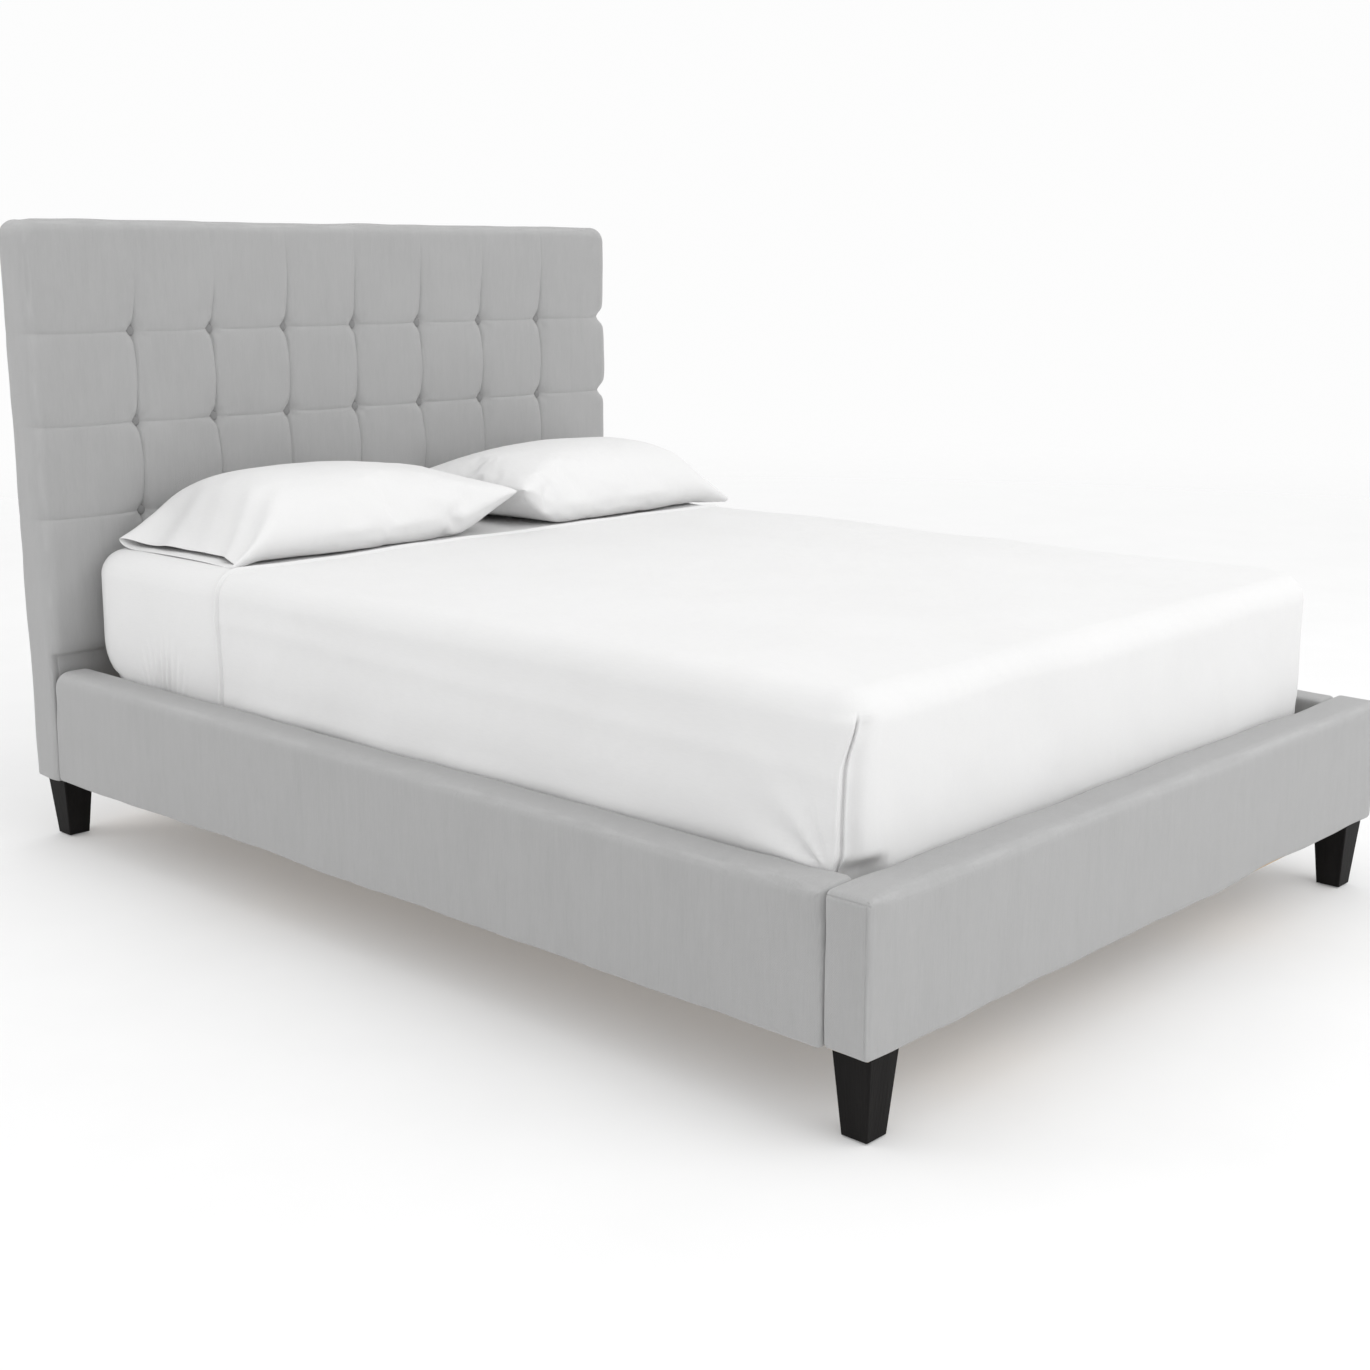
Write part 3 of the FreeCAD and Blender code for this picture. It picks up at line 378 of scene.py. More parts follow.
class Finish:
    """A node material made by short calls."""

    def __init__(self, name, roughness, metallic=0.0, sheen=0.0):
        self.material = bpy.data.materials.new(name)
        self.material.use_nodes = True
        self.tree = self.material.node_tree
        self.shader = self.tree.nodes["Principled BSDF"]
        self.set("Roughness", roughness)
        self.set("Metallic", metallic)
        self.set("Sheen Weight", sheen)
        self.set("Sheen Roughness", SHEEN_ROUGHNESS)
        self.place = self.node("TexCoord").outputs["Object"]

    def node(self, kind):
        return self.tree.nodes.new(f"ShaderNode{kind}")

    def put(self, socket, value):
        """Links a socket to a node's output, or sets its value."""
        if isinstance(value, bpy.types.NodeSocket):
            self.tree.links.new(value, socket)
        else:
            socket.default_value = value

    def set(self, name, value):
        self.put(self.shader.inputs[name], value)

    def maths(self, kind, operation, first, second):
        node = self.node(kind)
        node.operation = operation
        self.put(node.inputs[0], first)
        self.put(node.inputs[1], second)
        return node

    def vector(self, operation, first, second=(0, 0, 0)):
        node = self.maths("VectorMath", operation, first, second)
        return node.outputs["Value" if operation in ("DOT_PRODUCT", "LENGTH") else "Vector"]

    def number(self, operation, first, second):
        return self.maths("Math", operation, first, second).outputs[0]

    def mix(self, *parts):
        """The sum of values, each given as (value, share)."""
        total = None
        for value, share in parts:
            part = self.number("MULTIPLY", value, share)
            total = part if total is None else self.number("ADD", total, part)
        return total

    def noise(self, per_metre, detail=3.0, rough=0.55):
        """Noise with that many features a metre along each axis."""
        node = self.node("TexNoise")
        self.put(node.inputs["Vector"], self.vector("MULTIPLY", self.place, per_metre))
        node.inputs["Scale"].default_value = 1.0
        node.inputs["Detail"].default_value = detail
        node.inputs["Roughness"].default_value = rough
        return node.outputs["Fac"]

    def cells(self, per_metre):
        node = self.node("TexVoronoi")
        self.put(node.inputs["Vector"], self.place)
        node.inputs["Scale"].default_value = per_metre
        return node.outputs["Distance"]

    def weave(self, pitch):
        """Height of crossed threads on faces turned any way."""
        turned = self.vector("MULTIPLY", self.place, (TAU / pitch,) * 3)
        split = self.node("SeparateXYZ")
        self.put(split.inputs[0], self.vector("SINE", turned))
        x, y, z = split.outputs
        crossed = self.vector("MULTIPLY", self.join(y, x, x), self.join(z, z, y))
        facing = self.node("NewGeometry").outputs["Normal"]
        return self.vector("DOT_PRODUCT", crossed, self.vector("MULTIPLY", facing, facing))

    def join(self, x, y, z):
        node = self.node("CombineXYZ")
        for socket, value in zip(node.inputs, (x, y, z)):
            self.put(socket, value)
        return node.outputs[0]

    def ramp(self, value, stops):
        """Colours along a value: each stop is (place, colour)."""
        node = self.node("ValToRGB")
        self.put(node.inputs["Fac"], value)
        first, last = node.color_ramp.elements
        first.position, first.color = stops[0][0], (*stops[0][1], 1)
        last.position, last.color = stops[-1][0], (*stops[-1][1], 1)
        for place, color in stops[1:-1]:
            node.color_ramp.elements.new(place).color = (*color, 1)
        return node.outputs["Color"]

    def color(self, value):
        self.set("Base Color", value)

    def bumps(self, *layers):
        """Each layer is (height, distance in metres)."""
        normal = None
        for height, distance in layers:
            node = self.node("Bump")
            self.put(node.inputs["Height"], height)
            node.inputs["Distance"].default_value = distance
            if normal is not None:
                self.put(node.inputs["Normal"], normal)
            normal = node.outputs["Normal"]
        self.set("Normal", normal)

    def rough(self, value, low, high):
        node = ranged(self.tree, value, (0, 1), (low, high))
        self.set("Roughness", node.outputs["Result"])


def ranged(tree, value, source, target):
    """A node that maps a value's source range on to its target range."""
    node = tree.nodes.new("ShaderNodeMapRange")
    tree.links.new(value, node.inputs["Value"])
    for name, number in zip(("From Min", "From Max", "To Min", "To Max"), (*source, *target)):
        node.inputs[name].default_value = number
    return node


def grey(level, warm=0.0):
    """A near-neutral colour at that linear level."""
    return (level * (1 + warm), level, level * (1 - warm))


def brushed_weave(name, level):
    """Light grey brushed upholstery: fine crossed threads under short upright streaks of nap."""
    finish = Finish(name, roughness=0.9, sheen=0.28)
    streak = finish.noise((360.0, 360.0, 34.0), detail=4.0, rough=0.7)
    cloud = finish.noise((9.0, 9.0, 5.0), detail=3.0)
    brush = finish.noise((60.0, 60.0, 8.0), detail=4.0, rough=0.6)
    thread = finish.weave(UPHOLSTERY_PITCH)
    mixed = finish.mix((streak, 0.45), (cloud, 0.22), (brush, 0.33), (thread, 0.05))
    stops = [(0.36, grey(level * 0.95)), (0.50, grey(level)), (0.64, grey(level * 1.035))]
    finish.color(finish.ramp(mixed, stops))
    finish.bumps((thread, 0.0003), (streak, 0.0005), (brush, 0.0008), (cloud, 0.0015))
    return finish.material


def cotton(name, level):
    """White percale: a very fine weave with soft pressed creases."""
    finish = Finish(name, roughness=0.82, sheen=0.12)
    cloud = finish.noise((4.0, 4.0, 4.0), detail=3.0)
    rumple = finish.noise((16.0, 16.0, 12.0), detail=2.0, rough=0.5)
    slub = finish.noise((500.0, 60.0, 500.0), detail=2.0)
    thread = finish.weave(PERCALE_PITCH)
    mixed = finish.mix((cloud, 0.6), (slub, 0.4))
    finish.color(finish.ramp(mixed, [(0.30, grey(level * 0.965, 0.002)), (0.60, grey(level, 0.001))]))
    finish.bumps((rumple, 0.0028), (thread, 0.00003), (slub, 0.00003))
    return finish.material


def woven(name, level, pitch, warm=0.05):
    """A plain weave of that pitch, for webbing, backing, ticking and twine."""
    finish = Finish(name, roughness=0.85, sheen=0.1)
    thread = finish.weave(pitch)
    fleck = finish.noise((260.0, 260.0, 260.0), detail=3.0)
    mixed = finish.mix((thread, 0.25), (fleck, 1.0))
    finish.color(finish.ramp(mixed, [(0.30, grey(level * 0.72, warm)), (0.65, grey(level, warm))]))
    finish.bumps((thread, pitch * 0.3), (fleck, 0.0003))
    return finish.material


def timber(name, pale, dark, along, roughness=0.6, specular=0.4):
    """Wood whose grain runs along one axis: 0, 1 or 2."""
    finish = Finish(name, roughness=roughness)
    broad, fine = [24.0] * 3, [420.0] * 3
    broad[along], fine[along] = 1.1, 9.0
    ring = finish.noise(tuple(broad), detail=4.0, rough=0.6)
    pore = finish.noise(tuple(fine), detail=2.0)
    mixed = finish.mix((ring, 0.75), (pore, 0.25))
    finish.color(finish.ramp(mixed, [(0.5 - GRAIN_SPREAD, dark), (0.5 + GRAIN_SPREAD, pale)]))
    finish.rough(pore, roughness - 0.07, roughness + 0.10)
    finish.set("Specular IOR Level", specular)
    finish.bumps((pore, 0.0004), (ring, 0.0005))
    return finish.material


def plated(name, level, roughness, metallic, warm=0.0, peel=0.0002):
    """Metal or moulded plastic with a faint mottle."""
    finish = Finish(name, roughness=roughness, metallic=metallic)
    mottle = finish.noise((90.0, 90.0, 90.0), detail=4.0)
    skin = finish.noise((900.0, 900.0, 900.0), detail=2.0)
    finish.color(finish.ramp(mottle, [(0.3, grey(level * 0.8, warm)), (0.7, grey(level, warm))]))
    finish.rough(mottle, roughness - 0.08, roughness + 0.12)
    finish.bumps((skin, peel))
    return finish.material


def foam(name):
    """Open-cell cream foam."""
    finish = Finish(name, roughness=0.95)
    cell = finish.cells(700.0)
    finish.color(finish.ramp(cell, [(0.1, (0.58, 0.50, 0.34)), (0.6, (0.84, 0.77, 0.58))]))
    finish.bumps((cell, 0.0008))
    return finish.material


# nodes shown in another slot's finish: centre legs stained like the corner legs, and black leg plates
REPAINTED = {"centre_leg_foot": "leg_wood", "centre_leg_head": "leg_wood", "leg_plates": "bracket_steel"}

MATERIALS = {
    "upholstery_fabric": brushed_weave("grey_brushed_weave", 0.407),
    # the buttons' cloth is the upholstery weave at a darker level: painted shade of the deep tufting pockets
    # they sit in
    "button_fabric": brushed_weave("grey_button_weave_painted_pocket_shade", 0.25),
    "back_cloth": woven("grey_backing_cloth", 0.30, 0.0016, warm=0.0),
    "foam": foam("cream_foam"),
    "plywood": timber("raw_plywood", (0.62, 0.46, 0.30), (0.40, 0.27, 0.16), 0),
    "frame_wood": timber("planed_pine", (0.66, 0.49, 0.30), (0.44, 0.29, 0.15), 1),
    "leg_wood": timber("espresso_stain", *ESPRESSO, 2, roughness=0.5, specular=0.07),
    "beam_wood": timber("pine_beam", (0.64, 0.47, 0.29), (0.42, 0.28, 0.15), 1),
    "slat_wood": timber("pine_slats", (0.72, 0.56, 0.36), (0.50, 0.35, 0.20), 0),
    "webbing": woven("polyester_webbing", 0.52, 0.0020),
    "cord": woven("waxed_twine", 0.74, 0.0012),
    "anchor_plastic": plated("moulded_anchor", 0.70, 0.5, 0.0),
    "bracket_steel": plated("black_powder_coat", 0.03, 0.5, 0.0, peel=0.0004),
    "zinc_steel": plated("bright_zinc", 0.60, 0.32, 1.0, warm=0.01),
    "foot_plastic": plated("black_nylon", 0.03, 0.55, 0.0),
    "ticking": woven("white_knitted_ticking", 0.84, 0.0030, warm=0.005),
    "spring_steel": plated("drawn_wire", 0.50, 0.28, 1.0),
    "sheet_cotton": cotton("white_percale", 0.742),
    "pillowcase_cotton": cotton("white_pillow_percale", 0.755),
    "pillow_fibre": woven("pillow_shell", 0.86, 0.0010, warm=0.003),
}

def finish_nodes():
    """Gives every CAD node the finish of its material slot, or of the slot it is repainted to."""
    for part in frame["record"]["subparts"]:
        mesh = frame["nodes"][part["node"]].data
        mesh.materials.clear()
        mesh.materials.append(MATERIALS[REPAINTED.get(part["node"], part["material_slot"])])


# ---------------- headboard


def button_grid():
    """The x places and heights of the button columns and rows, and the buttons' front and back."""
    mesh = frame["nodes"]["headboard_buttons"].data
    points = np.zeros(len(mesh.vertices) * 3)
    mesh.vertices.foreach_get("co", points)
    points = points.reshape(-1, 3)

    def middles(values):
        values = np.sort(values)
        groups = np.split(values, np.nonzero(np.diff(values) > BUTTON_GAP)[0] + 1)
        return np.array([(g[0] + g[-1]) / 2 for g in groups])

    return middles(points[:, 0]), middles(points[:, 2]), points[:, 1].min(), points[:, 1].max()


def fold(distance):
    """Depth share of a tufting fold at a distance from its line: a sharp valley with round shoulders."""
    rise = np.clip(1 - distance / FOLD_HALF_WIDTH, 0, 1)
    shoulder = 1 - np.sqrt(1 - rise**FOLD_POWER)
    return shoulder * (1 - FOLD_SHARP_SHARE) + FOLD_SHARP_SHARE * np.exp(-distance / FOLD_SHARP_WIDTH)


def between(value, stops):
    """Index of the stop gap a value is in, and how far along it, 0 to 1."""
    gap = np.clip(np.searchsorted(stops, value) - 1, 0, len(stops) - 2)
    share = (value - stops[gap]) / (stops[gap + 1] - stops[gap])
    return gap, np.clip(share, 0, 1)


def tuft(points, columns, rows, lo, hi):
    """Depth of the tufting at each point, and the sideways drift of the folds."""
    x, z = points[:, 0], points[:, 2]
    rng = np.random.default_rng(11)
    near_column = np.abs(x[:, None] - columns[None]).argmin(1)
    from_column = np.abs(x - columns[near_column])
    near_row = np.abs(z[:, None] - rows[None]).argmin(1)
    from_row = np.abs(z - rows[near_row])

    gap, share = between(z, rows)
    slack = rng.uniform(*UPRIGHT_SLACK, (len(columns), len(rows)))
    upright = 1 - slack[near_column, gap] * np.sin(math.pi * share) ** 2
    reach = np.array(FOLD_REACH_ABOVE)[near_column]
    above = 1 - smooth(z, rows[-1], rows[-1] + reach) * 0.94
    below = 1 - smooth(rows[0] - z, 0, FADE_BELOW)
    upright = upright * np.where(z > rows[-1], above, 1) * np.where(z < rows[0], below, 1)
    upright = upright * FOLD_DEPTH_UPRIGHT * fold(from_column)

    gap_x, share_x = between(x, np.concatenate([[lo[0]], columns, [hi[0]]]))
    slack = rng.uniform(*LEVEL_SLACK, (len(rows), len(columns) + 1))
    level = 1 - slack[near_row, gap_x] * np.sin(math.pi * share_x) ** 2
    edge = smooth(np.abs(x), hi[0] - 0.050, hi[0] - 0.004)
    notch = edge * np.where(x < 0, NOTCH_DEPTH_LEFT, NOTCH_DEPTH_RIGHT) * bell(from_row, NOTCH_HALF_HEIGHT)
    level = level * FOLD_DEPTH_LEVEL * fold(from_row) * (1 - 0.4 * edge * (x < 0))

    depth = (upright**3 + level**3) ** (1 / 3) + notch
    from_button = np.hypot(from_column, from_row)
    depth += POCKET_DEPTH * np.exp(-((from_button / POCKET_RADIUS) ** 2.2))
    angle = np.arctan2(z - rows[near_row], x - columns[near_column])
    spin = near_column * 1.7 + near_row * 2.3
    depth += PUCKER_DEPTH * (np.sin(PUCKERS * angle + spin) * bell(from_button - PUCKER_RING, PUCKER_WIDTH))

    bow = rng.uniform(FOLD_BOW * 0.6, FOLD_BOW * 1.3, (len(columns), len(rows) + 1))[near_column, gap]
    over = np.clip((z - rows[-1]) / (hi[2] - rows[-1]), 0, 1)
    arch = np.where(z > rows[-1], np.sin(math.pi * over**0.8) * 1.1, np.sin(math.pi * share) ** 0.7)
    drift_x = bow * np.maximum(arch, 0) * bell(from_column, BOW_REACH)
    drift_z = -DROOP * np.sin(math.pi * share_x) * bell(from_row, DROOP_REACH)
    return depth, drift_x, drift_z


def build_headboard():
    """The tufted pad, its plain lower strip, the covered buttons and the back cloth."""
    lo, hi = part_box("headboard_cover")
    columns, rows, button_front, button_back = button_grid()
    low = np.array([lo.x, lo.y - CREST_PROUD, lo.z])
    high = np.array([hi.x, hi.y, hi.z])
    beside_seam = [*(PAD_BOTTOM - SEAM_LINES), *(PAD_BOTTOM + SEAM_LINES)]
    xs = graded([low[0], *columns, high[0]], PAD_GRID)
    ys = graded([low[1], high[1]], 0.006, 0.6)
    zs = graded([low[2], PAD_BOTTOM, *rows, high[2]], PAD_GRID, extra=beside_seam)
    flat, faces = box_grid(xs, ys, zs)
    corners = ((PAD_BACK_RADIUS,) * 2, (PAD_CORNER_RADIUS,) * 2)
    points = round_box(flat, low, high, (0, 2, 1), corners, (PAD_EDGE_RADIUS, PAD_BACK_RADIUS))
    out = normals(points, faces)
    frontness = 1 - smooth(points[:, 1], low[1] + 0.010, low[1] + 0.042) * (1 - SIDE_NOTCH_SHARE)
    depth, drift_x, drift_z = tuft(points, columns, rows, low, high)
    padded = smooth(points[:, 2], PAD_BOTTOM - SEAM_BLEND, PAD_BOTTOM + SEAM_BLEND)
    depth = depth * padded * frontness
    front = smooth(-out[:, 1], 0.2, 0.8)
    depth += (1 - padded) * STRIP_SET_BACK * front
    roll = np.clip(points[:, 2] - PAD_BOTTOM, 0, 1)
    depth += SEAM_ROLL_DEPTH * np.exp(-roll / SEAM_ROLL_HEIGHT) * padded * front
    depth += 0.0008 * waves(points, 0.09, 3) + 0.0012 * waves(points, 0.26, 4)
    depth *= 1 - smooth(points[:, 1], high[1] - 0.004, high[1])
    points = points - out * depth[:, None]
    points[:, 0] += drift_x * front
    points[:, 2] += drift_z * front
    covers = ["headboard_cover", "headboard_foam", "headboard_lower_foam"]
    pad = build("headboard_upholstery", points, faces, "frame", "upholstery_fabric", covers)
    build_buttons(columns, rows, button_front, button_back)
    build_back_cloth()


def build_buttons(columns, rows, front, back):
    """Fabric-covered buttons: a domed face, a rounded rim and a gathered back."""
    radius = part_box("headboard_buttons")[1].x - columns[-1]
    points, faces = [], []
    for column in columns:
        for row in rows:
            base = len(points)
            points.append((column, front, row))
            for share, level in BUTTON_PROFILE:
                y = front + (back - front) * level
                for side in range(BUTTON_SIDES):
                    turn = side * TAU / BUTTON_SIDES
                    x = column + radius * share * math.cos(turn)
                    points.append((x, y, row + radius * share * math.sin(turn)))
            for side in range(BUTTON_SIDES):
                after = (side + 1) % BUTTON_SIDES
                faces.append([base, base + 1 + side, base + 1 + after])
                for ring in range(len(BUTTON_PROFILE) - 1):
                    first = base + 1 + ring * BUTTON_SIDES
                    second = first + BUTTON_SIDES
                    faces.append([first + side, second + side, second + after, first + after])
            last = base + 1 + (len(BUTTON_PROFILE) - 1) * BUTTON_SIDES
            faces.append([last + side for side in range(BUTTON_SIDES)])
    buttons = mesh_object("headboard_tuft_buttons", points, faces)
    dress(buttons, "frame", "button_fabric", ["headboard_buttons"])


def build_back_cloth():
    """Stretched cloth over the headboard's back, with a turned hem and slight scallops at its staples."""
    inner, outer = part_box("headboard_back_cloth")
    xs = graded([inner.x, outer.x], BACK_GRID, 0.85)
    zs = graded([inner.z, outer.z], BACK_GRID, 0.85)
    ys = np.array([inner.y, outer.y])
    flat, faces = box_grid(xs, ys, zs)
    edge = np.minimum(half_gap(flat[:, 0], inner.x, outer.x), half_gap(flat[:, 2], inner.z, outer.z))
    rear = smooth(flat[:, 1], inner.y, outer.y)
    hem = 0.0008 * bell(edge - HEM_INSET, 0.004)
    pull = 0.0006 * (1 + np.cos((flat[:, 0] + flat[:, 2]) * TAU / STAPLE_PITCH)) * np.exp(-edge / 0.02)
    flat[:, 1] += rear * (hem - pull * 0.4 - 0.0002)
    cloth = build("headboard_back_panel", flat, faces, "frame", "back_cloth", ["headboard_back_cloth"])


# ---------------- rails and footboard


def build_rail(side, way):
    """One padded side rail cover: way is -1 for the left rail and 1 for the right."""
    lo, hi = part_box(f"side_rail_cover_{side}")
    low, high = np.array(lo), np.array(hi)
    xs = graded([low[0], high[0]], 0.006, 0.6)
    ys = graded([low[1], high[1]], 0.022, 0.3, beside(low[1], high[1], RAIL_END_LINES))
    zs = graded([low[2], high[2]], 0.009, 0.7)
    flat, faces = box_grid(xs, ys, zs)
    corners = ((RAIL_CORNER_RADIUS, RAIL_CORNER_RADIUS), (RAIL_CORNER_RADIUS, RAIL_HEAD_CORNER_RADIUS))
    rise = smooth(flat[:, 2], low[2] + 0.05, high[2] - 0.02)
    edge = RAIL_BOTTOM_RADIUS + (RAIL_TOP_RADIUS - RAIL_BOTTOM_RADIUS) * rise
    edges = (edge, RAIL_INNER_RADIUS) if way < 0 else (RAIL_INNER_RADIUS, edge)
    points = round_box(flat, low, high, (1, 2, 0), corners, edges)
    out = normals(points, faces)
    soft = 0.0007 * waves(points, 0.10, 21 + way) + 0.0011 * waves(points, 0.32, 23 + way)
    soft *= 1 - 0.75 * smooth(-way * out[:, 0], 0.3, 0.9)
    points = points + out * soft[:, None]
    under = 1 - smooth(points[:, 2], low[2], low[2] + 0.06)
    points[:, 2] += under * 0.0016 * waves(points * [0, 1, 0], 0.38, 31 + way)
    covers = [f"side_rail_cover_{side}", f"side_rail_foam_{side}"]
    rail = build(f"side_rail_upholstery_{side}", points, faces, "frame", "upholstery_fabric", covers)


def build_footboard():
    """The padded footboard cover: boxed ends with seams along the top and down the front corner."""
    lo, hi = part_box("footboard_cover")
    low, high = np.array(lo), np.array(hi)
    near = SEAM_END_LINES
    xs = graded([low[0], high[0]], 0.022, 0.3, beside(low[0], high[0], near))
    ys = graded([low[1], high[1]], 0.008, 0.5, extra=[*(low[1] + near), *(high[1] - near[:5])])
    zs = graded([low[2], high[2]], 0.010, 0.6, extra=[*(high[2] - near), *(low[2] + near[:5])])
    flat, faces = box_grid(xs, ys, zs)
    corners = ((RAIL_CORNER_RADIUS,) * 2, (RAIL_CORNER_RADIUS + 0.003,) * 2)
    rise = smooth(flat[:, 2], low[2] + 0.10, high[2] - 0.02)
    inboard = smooth(half_gap(flat[:, 0], low[0], high[0]), 0.0, 0.07)
    edge = FOOTBOARD_BOTTOM_RADIUS + (FOOTBOARD_TOP_RADIUS - FOOTBOARD_BOTTOM_RADIUS) * rise * inboard
    points = round_box(flat, low, high, (0, 2, 1), corners, (edge, RAIL_INNER_RADIUS))
    out = normals(points, faces)
    on_end = (flat[:, 0] <= low[0] + 1e-6) | (flat[:, 0] >= high[0] - 1e-6)
    to_seam = np.minimum(
        np.abs(flat[:, 1] - (low[1] + SEAM_INSET)),
        np.abs(flat[:, 2] - (high[2] - SEAM_INSET)),
    )
    groove = np.where(on_end, bell(to_seam, SEAM_HALF_WIDTH), 0) * SEAM_DEPTH
    swell = 0.0007 * waves(points, 0.10, 41) + 0.0012 * waves(points, 0.34, 42)
    points = points + out * (swell - groove)[:, None]
    under = 1 - smooth(points[:, 2], low[2], low[2] + 0.07)
    points[:, 2] += under * 0.0024 * waves(points * [1, 0, 0], 0.36, 43)
    covers = ["footboard_cover", "footboard_foam"]
    pad = build("footboard_upholstery", points, faces, "frame", "upholstery_fabric", covers)


def build_straps():
    """The two webbing straps that space the slats: flat under each slat and slack between them."""
    lo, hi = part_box("slat_straps")
    pitch = (hi.y - lo.y - SLAT_WIDTH) / (SLAT_COUNT - 1)
    inner, outer = hi.x - STRAP_WIDTH, hi.x
    xs = [inner, *(inner + STRAP_RIM_LINES), *(outer - STRAP_RIM_LINES[::-1]), outer]
    ys = graded([lo.y, hi.y], 0.012, 0.0)
    zs = np.linspace(lo.z, hi.z, 3)
    middle = (lo.z + hi.z) / 2
    all_points, all_faces = [], []
    for side in (-1, 1):
        flat, faces = box_grid(np.array(xs), ys, zs)
        if side < 0:
            flat[:, 0] = -flat[:, 0]
            faces = faces[:, ::-1]
        edge = half_gap(np.abs(flat[:, 0]), inner, outer)
        full = STRAP_RIM_SHARE + (1 - STRAP_RIM_SHARE) * smooth(edge, 0, 0.003)
        flat[:, 2] = middle + (flat[:, 2] - middle) * full
        along = (flat[:, 1] - lo.y) % pitch
        slack = np.clip((along - SLAT_WIDTH) / (pitch - SLAT_WIDTH), 0, 1)
        flat[:, 2] -= STRAP_SAG * np.sin(math.pi * slack) ** 2
        flat[:, 0] += 0.0008 * waves(flat * [0, 1, 0], 0.30, 81 + side)
        all_faces.append(faces + sum(len(p) for p in all_points))
        all_points.append(flat)
    points, faces = np.concatenate(all_points), np.concatenate(all_faces)
    build("slat_strap_webbing", points, faces, "frame", "webbing", ["slat_straps"])


# ---------------- mattress and sheets


def bed_shell(grow, floor_gap, step, extra_x=(), extra_y=(), extra_z=()):
    """The mattress's outer form, grown by a distance at the top and sides, as flat and rounded points.
    The sheet's boxed fold squares the left foot corner."""
    lo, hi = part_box("mattress_ticking")
    low = np.array([lo.x - grow, lo.y - grow, lo.z + floor_gap])
    high = np.array([hi.x + grow, hi.y + grow, hi.z + grow])
    near = CORNER_LINES
    xs = graded([low[0], high[0]], step, 0.2, [*beside(low[0], high[0], near), *extra_x])
    ys = graded([low[1], high[1]], step, 0.2, [*beside(low[1], high[1], near), *extra_y])
    zs = graded([low[2], high[2]], step, 0.2, extra=[*(high[2] - near[:6]), *(low[2] + near[:5]), *extra_z])
    flat, faces = box_grid(xs, ys, zs)
    corners = ((FOLDED_CORNER_RADIUS, SLACK_CORNER_RADIUS), (MATTRESS_CORNER_RADIUS,) * 2)
    points = round_box(flat, low, high, (0, 1, 2), corners, (MATTRESS_BOTTOM_RADIUS, MATTRESS_TOP_RADIUS))
    return flat, points, faces, low, high


def bed_swell(points, high):
    """How far the made bed's face stands out or in: soft hollows on top and slack down the sides."""
    top = smooth(points[:, 2], high[2] - 0.05, high[2] - 0.005)
    soft = 0.0016 * waves(points, 0.42, 51) + 0.0008 * waves(points, 0.17, 52)
    drape = 0.0022 * waves(points * [1, 1, 0.35], 0.21, 53)
    return soft + drape * (1 - top) * 0.8


def corner_tuck(points, low, high, ease):
    """How far towards the head or foot the bedding is drawn in under each corner. A layer under the
    flat sheet is drawn in over a wider patch, by its ease."""
    across = half_gap(points[:, 0], low[0], high[0])
    along = points[:, 1] - low[1]
    drawn = 1 - smooth(points[:, 2], low[2] + TUCK_FROM + ease / 2, low[2] + TUCK_TO + ease)
    reach = 1 - smooth(across, 0.040 + ease, 0.078 + ease)
    foot = CORNER_TUCK * drawn * reach * (1 - smooth(along, -0.030, 0.045 + ease))
    below = np.clip((low[2] + HEAD_TUCK_HEIGHT - points[:, 2]) / 0.068, 0, 1)
    rounding = 1 - np.sqrt(1 - below**2)
    near_head = 1 - smooth(high[1] - points[:, 1], 0.02, 0.24)
    head = HEAD_TUCK * rounding * near_head * (1 - smooth(across, 0.10, 0.26))
    return foot - head


def pressed_in(points, low, high):
    """How far the tucked flat sheet presses the layers under it in, near the foot."""
    near_foot = 1 - smooth(points[:, 1] - low[1], 0.25, 0.36)
    return LAYER_PRESS * near_foot * (1 - smooth(points[:, 2], high[2] - 0.045, high[2] - 0.010))


def settle_bedding(points, out, swell, low, high, ease=0.0):
    """Points moved out by their swell and in under the foot corners, never below the slats."""
    moved = points + out * swell[:, None]
    moved[:, 1] += corner_tuck(points, low, high, ease)
    moved[:, 2] = np.maximum(moved[:, 2], low[2])
    return moved


def build_mattress():
    """The mattress under its sheets: a rounded body in ticking."""
    _, points, faces, low, high = bed_shell(-0.0012, 0.0012, 0.045)
    out = normals(points, faces)
    swell = bed_swell(points, high) - 0.0022 - pressed_in(points, low, high)
    points = settle_bedding(points, out, swell, low, high, LAYER_EASE)
    layers = ["mattress_ticking", "mattress_base_foam", "mattress_comfort_foam", "mattress_edge_foam"]
    body = build("mattress_body", points, faces, "mattress", "ticking", layers)


